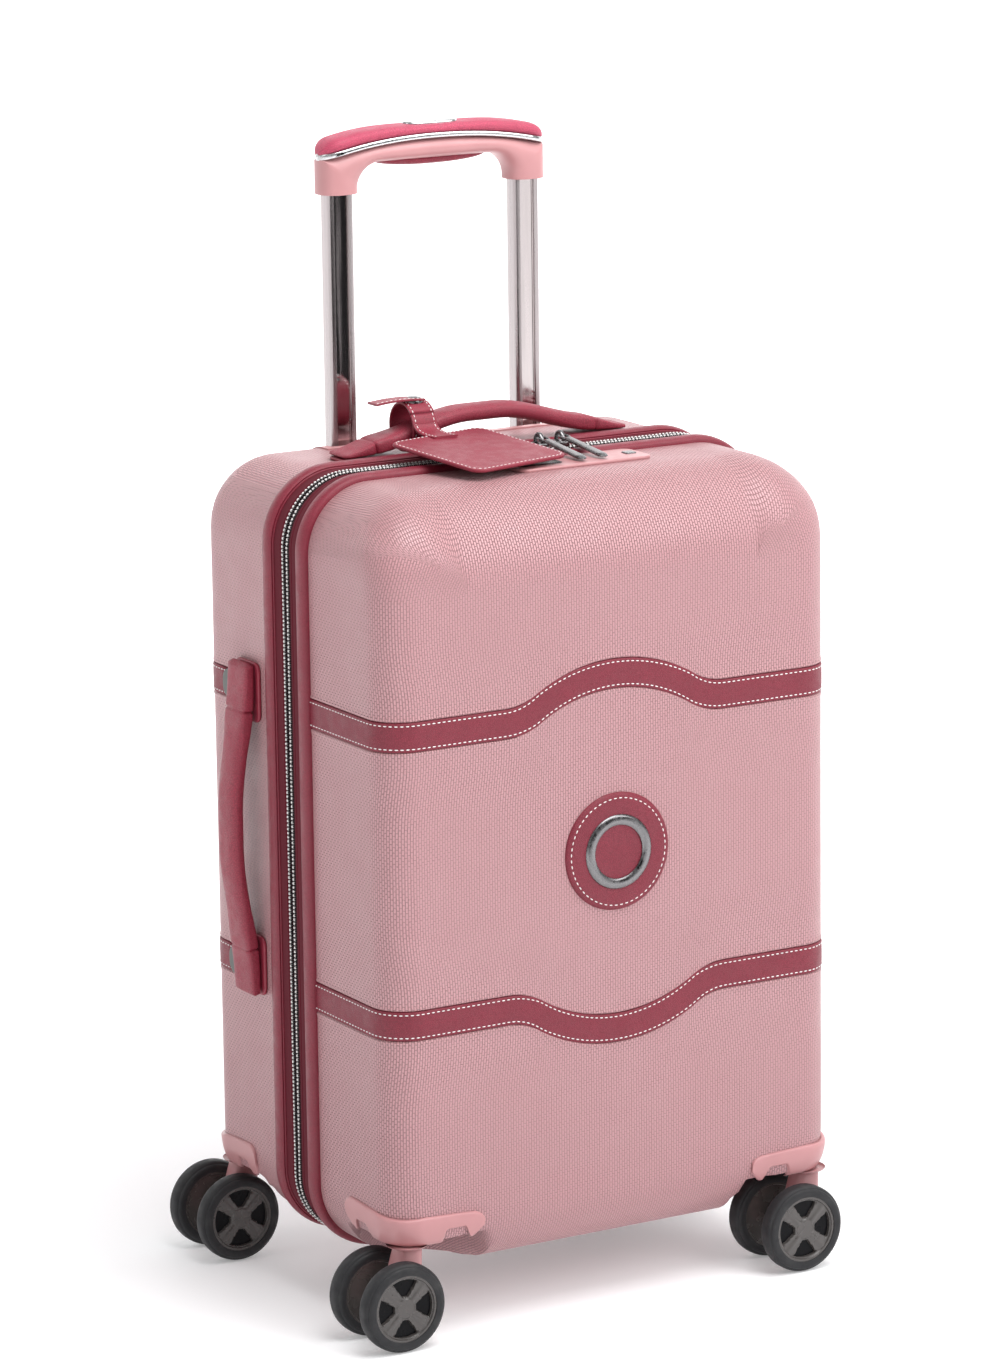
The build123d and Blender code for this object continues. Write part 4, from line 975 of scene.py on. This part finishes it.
# the frame's inner and outer line: up a leg, round the corner, along the bar to the middle
leg_inner, inner_corner, bar_low, leg_steps = 57.8, 16.0, 731.0, 8
bend_x, bend_z = leg_inner - inner_corner, bar_low - inner_corner
quarter = np.linspace(0, np.pi / 2, 26)[1:]
bar_x = bend_x * (1 - np.linspace(0, 1, 24)[1:])
inner_x = np.concatenate([np.full(leg_steps, leg_inner), bend_x + inner_corner * np.cos(quarter), bar_x])
inner_z = np.concatenate(
    [np.linspace(collar_z, bend_z, leg_steps), bend_z + inner_corner * np.sin(quarter),
     np.full(len(bar_x), bar_low)]
)
side, under_trim = grip_half - 0.2, 1.4
outer_x = np.concatenate([np.full(leg_steps, side), side - (side - bend_x) * quarter / quarter[-1], bar_x])
outer_z = np.concatenate(
    [np.linspace(collar_z, trim_line(side) - under_trim, leg_steps),
     trim_line(outer_x[leg_steps:]) - under_trim]
)
inner, outer = both_halves(inner_x, inner_z), both_halves(outer_x, outer_z)
across = 0.5 * (outer - inner)
centre = 0.5 * (outer + inner)
count = len(centre)
section = oval(np.ones(count), np.full(count, grip_half_depth), np.full(count, 2.5), 40)
grid = np.stack(
    [
        centre[:, None, 0] + section[..., 0] * across[:, None, 0],
        grip_y + section[..., 1],
        centre[:, None, 1] + section[..., 0] * across[:, None, 1],
    ],
    axis=-1,
)
lay("grip_frame", [grid] + end_caps(grid, grid.mean(axis=1)), finishes["pink"], "pull_handle",
    ["grip_body"], smooth=50)
band_over(lambda x: -2.2, lambda x: 2.2, 13.0, 6.0, "grip_bright_strip", "bright",
          ["grip_trim"])


def pad_top(x):
    """Height of the pad over the trim line: thicker towards the shoulders, rolled down at the very end."""
    from_end = np.clip((grip_half - np.abs(x)) / 11, 0, 1)
    shoulder = 5.4 + 2.6 * ease(np.abs(x) / 62)
    return 1.2 + (shoulder + 0.9) * np.sqrt(1 - (1 - from_end) ** 2)


pad = band_over(lambda x: 0.6, pad_top, grip_half_depth, 2.8, "grip_pad", "grip",
                ["grip_cover"])
x = np.linspace(-1, 1, 41)
belly = np.stack([x * 44, np.full(41, grip_y + 3), bar_low + 1.5 - 2.6 * np.clip(1 - x**2, 0, 1)], axis=1)
half_thick = 3.4 * np.clip(1 - x**6, 0.02, 1) ** 0.5
half_wide = 8.5 * np.clip(1 - x**8, 0.02, 1) ** 0.5
belly_grid = carried(belly, oval(half_thick, half_wide, np.full(41, 2.4), 24), (0, 0, 1), (0, 1, 0))
lay("grip_belly_insert", [belly_grid], finishes["handle"], "pull_handle")
low, high = box_mm("grip_button")
size = high - low
button = slab((0, grip_y, low[2] + 1.8), (1, 0, 0), (0, 1, 0), size[:2], size[2] - 1.8, 7.4, 1.2, 0.3)
lay("grip_release_button", [button], finishes["bright"], "grip_button", ["grip_button"])

# ---------------------------------------------------------------- carry handles


def carry_handle(name, body, origin, along, out, half, wide, thick, rise, bow_half, wrap, taper):
    """A padded strap handle: oval sections carried along a straight-ended bow, flat end caps, and a
    shallow groove where the wrapping meets each cap."""
    origin, along, out = (np.asarray(v, float) for v in (origin, along, out))
    by_groove = wrap / half + np.array([-0.012, 0, 0.012])
    place = half * np.unique(np.concatenate([np.linspace(-1, 1, 121), -by_groove, by_groove]))
    share = np.clip(1 - np.abs(place) / bow_half, 0, 1)
    lift = rise * ease(share * 1.15)
    centre = origin[None, :] + place[:, None] * along + (2.8 + thick / 2 + lift)[:, None] * out
    groove = 1 - 0.12 * np.exp(-(((np.abs(place) - wrap) / 0.9) ** 2))
    padded = ease((wrap - np.abs(place)) / 30)
    end = np.sqrt(np.clip(1 - np.clip((np.abs(place) - half + 3) / 3, 0, 1) ** 2, 0.03, 1))
    slim = 1 - taper * ease((np.abs(place) - wrap + 8) / (half - wrap + 8))
    centre = centre - ((1 - slim) * thick / 2)[:, None] * out
    half_thick = thick / 2 * groove * (0.92 + 0.08 * padded) * slim * end
    half_wide = wide / 2 * groove * (1 - 0.06 * padded) * (0.7 + 0.3 * end)
    power = 5.0 - 2.3 * padded
    sections = oval(half_thick, half_wide, power, 36)
    tangent = np.gradient(centre, axis=0)
    tangent /= np.linalg.norm(tangent, axis=1, keepdims=True)
    aside = np.cross(along, out)
    grid = carried(centre, sections, np.cross(aside, tangent), aside)
    caps = end_caps(grid, centre)
    lay(name, [grid] + caps, finishes["handle"], body, [body], smooth=60)


low, high = box_mm("top_handle")
top_y = (low[1] + high[1]) / 2
carry_handle("top_handle_strap", "top_handle", (0, top_y, shell_top), (1, 0, 0), (0, 0, 1),
             high[0], high[1] - low[1], 11.0, 15.0, 88.0, 84, 0.72)
side_low, side_high = box_mm("side_handle")
side_y, side_z = (side_low[1] + side_high[1]) / 2, (side_low[2] + side_high[2]) / 2
carry_handle("side_handle_strap", "side_handle", (-half_width, side_y, side_z), (0, 0, 1), (-1, 0, 0),
             (side_high[2] - side_low[2]) / 2, side_high[1] - side_low[1] - 3, 10.0, 8.5, 92.0,
             80, 0.25)
mounts = [
    slab((way * 88, top_y, shell_top), (1, 0, 0), (0, 1, 0), (40, 26), 2.4, 6, 1.0) for way in (-1, 1)
]
lay("top_handle_bases", mounts, finishes["deep"], "back_case", ["top_handle_mounts"])
mounts = [
    slab((-half_width, side_y, side_z + way * 92), (0, 0, 1), (0, 1, 0), (40, 32), 2.4, 6, 1.0)
    for way in (-1, 1)
]
lay("side_handle_bases", mounts, finishes["deep"], "back_case", ["side_handle_mounts"])
plate_y = box_mm("band_end_plates")[1][1] - 2.0
plates = [
    slab((-half_width - 0.6, plate_y, mid), (0, 0, 1), (0, 1, 0), (19.2, 17), 1.2, 7.5, 0.5)
    for mid in band_mid.values()
]
lay("band_end_caps", plates, finishes["plate"], "back_case", ["band_end_plates"])

# ---------------------------------------------------------------- luggage tag
snap_low, snap_high = box_mm("tag_snap")
tag_x, loop_y = (snap_low[0] + snap_high[0]) / 2, (snap_low[1] + snap_high[1]) / 2
loop_radius = 15.7
loop_z = snap_low[2] - 16.6
tag_turn, tag_tilt = math.radians(14.0), math.radians(5.8)
card_x = np.array([math.cos(tag_turn), math.sin(tag_turn), 0])
level_y = np.array([-math.sin(tag_turn), math.cos(tag_turn), 0])
card_y = level_y * math.cos(tag_tilt) + np.array([0, 0, math.sin(tag_tilt)])
card_up = np.cross(card_x, card_y)
card_origin = np.array([tag_x, loop_y - 26.6, loop_z - 2.0])
card_middle = card_origin - card_y * 42.5 - card_up * 2.4
lay("tag_card_leather", [slab(card_middle, card_x, card_y, (83.4, 84.4), 2.4, 9, 0.9)], finishes["tag"],
    "tag", ["tag_card"])
outline, _ = rounded_outline(79.4, 80.4, 7.5, 12)
line = card_middle + outline[:, :1] * card_x + outline[:, 1:] * card_y + card_up * 2.45
seams = stitches(line, np.tile(card_up, (len(line), 1)), pitch=3.6, length=2.7, radius=0.38)
lay("tag_card_stitches", seams, finishes["white"], "tag")
# strap: a flat band from the card up and over the handle, round under it, with its tail on top
turn = 0.9 + np.linspace(0, 2 * np.pi, 49)
loop_out = np.stack([np.zeros(49), -np.sin(turn), np.cos(turn)], axis=1)
loop = np.array([tag_x, loop_y, loop_z]) + loop_radius * loop_out


def flat_band(path, normals, wide, thick, way):
    """A strap: rounded rectangle sections carried along a path, way being its width's direction."""
    half_thick, half_wide, power = (np.full(len(path), v) for v in (thick / 2, wide / 2, 7.0))
    grid = carried(path, oval(half_thick, half_wide, power, 20), normals, way)
    return [grid] + end_caps(grid, path)


strap = flat_band(loop, loop_out, 18.0, 1.7, (1, 0, 0))
join = np.linspace(0, 1, 15)[:, None]
begin = np.array([tag_x, loop_y - loop_radius - 0.2, loop_z + 3.0])
finish_at = card_origin - card_y * 12 + card_up * 0.9
knee = np.array([tag_x, loop_y - loop_radius - 3.0, loop_z - 3.5])
tab = (1 - join) ** 2 * begin + 2 * join * (1 - join) * knee + join**2 * finish_at
tangent = np.gradient(tab, axis=0)
tab_out = np.cross(np.tile([1.0, 0, 0], (15, 1)), -tangent)
tab_out /= np.linalg.norm(tab_out, axis=1, keepdims=True)
tab_out *= np.sign(tab_out[:, 2:3] + 1e-9)
strap += flat_band(tab, tab_out, 17.6, 1.7, (1, 0, 0))
tail_x = np.linspace(0, 1, 13)
tail_z = loop_z + loop_radius + 1.7 + 1.2 * np.sin(tail_x * 3)
tail = np.stack([tag_x + 6 - 38 * tail_x, loop_y - 3.0 * tail_x, tail_z], axis=1)
tail_up = np.tile([0.0, 0, 1.0], (13, 1))
strap += flat_band(tail, tail_up, 13.0, 1.5, (0, 1, 0))
lay("tag_loop_strap", strap, finishes["tag"], "tag", ["tag_strap"])
seams = []
for way in (-1, 1):
    rows = [
        (loop + loop_out * 0.9 + np.array([way * 6.9, 0, 0]), loop_out),
        (tab + tab_out * 0.9 + np.array([way * 6.7, 0, 0]), tab_out),
        (tail + np.array([0, way * 4.8, 0.8]), tail_up),
    ]
    for line, up in rows:
        seams += stitches(line, up, 3.4, 2.5, 0.36)
lay("tag_strap_stitches", seams, finishes["white"], "tag")
cap = [(0, 3.4), (3.0, 3.3), (5.2, 2.6), (6.4, 1.4), (6.6, 0.4), (6.6, -0.6)]
lay("tag_snap_cap", [turned(cap, (tag_x, loop_y, snap_low[2] - 0.6), "z", 40)], finishes["gunmetal"], "tag",
    ["tag_snap"])

# ---------------------------------------------------------------- lock
low, high = box_mm("lock_plate")
lock_mid, size = (low + high) / 2, high - low
dials = [box_mm(f"lock_dial_{number}") for number in (1, 2, 3)]
dial_x = [(a[0] + b[0]) / 2 for a, b in dials]
cover = slab((lock_mid[0], lock_mid[1], shell_top - 0.5), (1, 0, 0), (0, 1, 0), size[:2], 2.5, 7, 1.0)
lay("lock_cover", [cover], finishes["pink"], "front_case", ["lock_plate"])
window_at = ((dial_x[0] + dial_x[2]) / 2, lock_mid[1], high[2] - 1.0)
window = slab(window_at, (1, 0, 0), (0, 1, 0), (33, 13.5), 1.3, 3.0, 0.4)
lay("lock_window", [window], finishes["dark"], "front_case")
for number, (a, b) in enumerate(dials, start=1):
    middle = (a + b) / 2
    radius, half = (b[2] - a[2]) / 2 + 0.15, (b[0] - a[0]) / 2
    teeth = 1 + 0.035 * np.cos(10 * np.linspace(0, 2 * np.pi, 81))
    rims = [(0.0, -half), (radius - 0.6, -half), (radius, -half + 0.6)]
    rims += [(r, -along) for r, along in rims[::-1]]
    wheel = turned(rims, (0, 0, 0), "x", 80)
    wheel[..., 1:] *= teeth[None, :, None] * 0.965
    dial = f"lock_dial_{number}"
    lay(f"number_dial_{number}", [wheel + middle], finishes["dial"], dial, [dial])
low, high = box_mm("lock_button")
middle, size = (low + high) / 2, high - low
button = slab((middle[0], middle[1], low[2]), (1, 0, 0), (0, 1, 0), size[:2], size[2], 1.6, 0.6)
lay("lock_slide_button", [button], finishes["gunmetal"], "lock_button", ["lock_button"])

# ---------------------------------------------------------------- zip sliders and pulls
for name in ("left", "right"):
    low, high = box_mm(f"{name}_zip_slider")
    x = (low[0] + high[0]) / 2
    base = slab((x, closing_y, low[2]), (1, 0, 0), (0, 1, 0), (11.0, 12.0), 4.0, 3.4, 1.1, 0.4)
    turn = np.linspace(0, np.pi, 17)
    out = np.stack([np.zeros(17), np.cos(turn), np.sin(turn)], axis=1)
    bridge = np.array([x, closing_y, low[2] + 3.4]) + out * [0, 4.8, 6.4]
    hoop_grid = along_path(bridge, oval(np.full(17, 0.9), np.full(17, 1.5), np.full(17, 3.0), 14), out)
    slider, pull = f"{name}_zip_slider", f"{name}_zip_pull"
    lay(f"{name}_slider_casting", [base, hoop_grid], finishes["gunmetal"], slider, [slider])
    pin_z = high[2] - 3.0
    slope = math.radians(6.2)
    way = np.array([0, -math.cos(slope), -math.sin(slope)])
    up = np.array([0, -math.sin(slope), math.cos(slope)])
    t = np.linspace(0, 1, 41)
    pin = np.array([x, closing_y, pin_z])
    line = pin + (9.0 + 48.6 * t)[:, None] * way
    half_wide = np.interp(t, [0, 0.04, 0.15, 0.5, 0.88, 0.97, 1.0], [0.4, 2.4, 2.7, 3.1, 3.5, 2.9, 0.3])
    half_thick = np.interp(t, [0, 0.05, 0.5, 0.9, 1.0], [0.4, 1.5, 1.35, 1.3, 0.3])
    paddle = carried(line, oval(half_thick, half_wide, np.full(41, 3.0), 20), up, (1, 0, 0))
    turn = np.linspace(0, 2 * np.pi, 41)
    ahead, sideways = np.cos(turn)[:, None] * way, np.sin(turn)[:, None] * np.array([1, 0, 0])
    eye = pin + way * 6.2 + (5.6 * ahead + 2.9 * sideways)
    eye_out = ahead + sideways
    link = along_path(eye, oval(np.full(41, 0.85), np.full(41, 0.95), np.full(41, 2.0), 12), eye_out)
    lay(f"{name}_pull_paddle", [paddle, link], finishes["gunmetal"], pull, [pull])

# ---------------------------------------------------------------- inside: hinge cloth and packing straps
low, high = box_mm("hinge_gusset")
across = np.linspace(-12.5, 12.5, 25)
rise = np.linspace(low[2], high[2], 40)
sag = 0.6 * np.sin(rise * 0.12)[:, None] * np.cos(across * 0.12)[None, :]
gusset_grid = np.stack(
    [
        low[0] + 0.4 - sag * 0.5,
        np.broadcast_to(closing_y + across[None, :], sag.shape),
        np.broadcast_to(rise[:, None], sag.shape),
    ],
    axis=-1,
)
gusset = lay("hinge_cloth", [gusset_grid], finishes["lining"], None, ["hinge_gusset"])
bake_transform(gusset)
strap_low, strap_high = box_mm("packing_straps")
straps, buckles = [], []
for z in (middle_z - 95, middle_z + 95):
    x = np.linspace(strap_low[0], strap_high[0], 60)
    path = np.stack([x, np.full(60, strap_high[1] - 1.0), np.full(60, z)], axis=1)
    straps += flat_band(path, np.tile([0.0, -1, 0], (60, 1)), 25.0, 1.4, (0, 0, 1))
    buckles.append(slab((0, strap_high[1] - 1.2, z), (1, 0, 0), (0, 0, 1), (34, 33), 4.6, 5, 1.4, 0.5))
lay("packing_strap_webbing", straps, finishes["webbing"], "back_case", ["packing_straps"])
lay("packing_strap_buckles", buckles, finishes["pink"], "back_case")

# ---------------------------------------------------------------- frame parts that keep their own shape
kept = {"handle_bezel": "pink", "outer_tubes": "tube", "tube_foot": "pink"}
for node, finish in kept.items():
    for material_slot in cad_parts[node].material_slots:
        material_slot.link = "OBJECT"
        material_slot.material = finishes[finish]

# ---------------------------------------------------------------- floor, light, camera
camera_azimuth = -30.49
floor_half, back_rise = 6.0, 4.0
bend = np.linspace(0, math.pi / 2, 13)
floor_line = [(-floor_half, 0.0), (2.2, 0.0)] + [
    (2.2 + 1.8 * math.sin(a), 1.8 * (1 - math.cos(a))) for a in bend[1:]
] + [(4.0, back_rise)]
floor_line = np.array(floor_line) / MM
sideways = np.linspace(-7, 7, 5) / MM
sweep_grid = np.stack(
    [
        np.broadcast_to(sideways[None, :], (len(floor_line), 5)),
        np.broadcast_to(floor_line[:, :1], (len(floor_line), 5)),
        np.broadcast_to(floor_line[:, 1:], (len(floor_line), 5)),
    ],
    axis=-1,
)
paper = Finish("pale_floor", (0.80, 0.80, 0.81), 0.6, specular=0.1)
paper.mixed(paper.ramp(paper.noise(3, 2), 0.3, 0.7), (0.79, 0.79, 0.80), (0.81, 0.81, 0.82))
# the sweep glows more the farther it is from the case, so that it stays white behind it
spread = paper.nodes.new("ShaderNodeVectorMath")
spread.operation = "LENGTH"
paper.links.new(paper.source, spread.inputs[0])
paper.surface.inputs["Emission Color"].default_value = (1, 1, 1, 1)
glow = paper.ramp(spread.outputs["Value"], 0.35, 1.3, 0.24, 0.95)
paper.links.new(glow, paper.surface.inputs["Emission Strength"])
backdrop = bpy.data.meshes.new("floor_sweep")
count = sweep_grid.shape[0]
number = np.arange(count * 5).reshape(count, 5)
quads = np.stack([number[:-1, :-1], number[:-1, 1:], number[1:, 1:], number[1:, :-1]], axis=-1)
backdrop.from_pydata((sweep_grid.reshape(-1, 3) * MM).tolist(), [], quads.reshape(-1, 4).tolist())
backdrop.materials.append(paper.material)
backdrop.polygons.foreach_set("use_smooth", np.ones(len(backdrop.polygons), dtype=bool))
floor = bpy.data.objects.new("floor_sweep", backdrop)
bpy.context.collection.objects.link(floor)
floor.rotation_euler = (0, 0, math.radians(camera_azimuth))


def lamp(name, place, aim, power, size, colour=(1, 1, 1)):
    """A square soft light at place, facing aim."""
    light = bpy.data.lights.new(name, "AREA")
    light.energy, light.shape = power, "RECTANGLE"
    light.size, light.size_y = size
    light.color = colour
    lit = bpy.data.objects.new(name, light)
    lit.location = place
    lit.rotation_euler = (Vector(aim) - Vector(place)).to_track_quat("-Z", "Y").to_euler()
    bpy.context.collection.objects.link(lit)


centre = (0, 0, 0.33)
lamp("key_softbox", (1.3, -2.3, 1.9), centre, 42, (1.6, 1.6))
lamp("left_softbox", (-2.3, 0.3, 1.6), centre, 7, (0.7, 1.8))
lamp("top_softbox", (0.2, -0.7, 2.4), (0, 0, 0.5), 50, (1.6, 1.6))
# a dark card out of view, mirrored only by the metal
card_mesh = bpy.data.meshes.new("dark_card")
card_corners = [(-0.35, -1, 0.1), (0.62, -1, 0.1), (0.62, -1, 1.0), (-0.35, -1, 1.0)]
card_mesh.from_pydata(card_corners, [], [(0, 1, 2, 3)])
card_mesh.materials.append(finishes["dark"])
dark_card = bpy.data.objects.new("dark_card", card_mesh)
bpy.context.collection.objects.link(dark_card)
dark_card.visible_camera = dark_card.visible_diffuse = dark_card.visible_shadow = False
world = bpy.data.worlds.new("studio_white")
bpy.context.scene.world = world
world.use_nodes = True
world.node_tree.nodes["Background"].inputs["Color"].default_value = (1, 1, 1, 1)
world.node_tree.nodes["Background"].inputs["Strength"].default_value = 0.42
bpy.context.scene.view_settings.view_transform = "Standard"

# The camera looks from front left and a little above, with a long lens.
azimuth, elevation, roll = (math.radians(v) for v in (camera_azimuth, 13.90, -0.71))
back_way = np.array(
    [math.sin(azimuth) * math.cos(elevation), -math.cos(azimuth) * math.cos(elevation), math.sin(elevation)]
)
right_way = np.array([math.cos(azimuth), math.sin(azimuth), 0])
ways_out = np.stack([right_way, np.cross(back_way, right_way), back_way])
yaw, pitch = math.radians(0.1687), math.radians(1.5702)
turns = [Matrix.Rotation(-roll, 3, "Z"), Matrix.Rotation(-pitch, 3, "X"), Matrix.Rotation(-yaw, 3, "Y")]
turn_roll, turn_pitch, turn_yaw = (np.array(turn) for turn in turns)
turned_ways = turn_roll @ turn_pitch @ turn_yaw @ ways_out
lens = bpy.data.cameras.new("long_lens")
lens.sensor_fit = "VERTICAL"
lens.sensor_height = 36.0
lens.lens = 147.89032
lens.clip_end = 50
camera = bpy.data.objects.new("long_lens", lens)
place = np.array([0, 0, 289.5]) * MM + back_way * 3.7196
pose = Matrix.Identity(4)
for row in range(3):
    for column in range(3):
        pose[row][column] = turned_ways[column][row]
    pose[row][3] = place[row]
camera.matrix_world = pose
bpy.context.collection.objects.link(camera)
bpy.context.scene.camera = camera
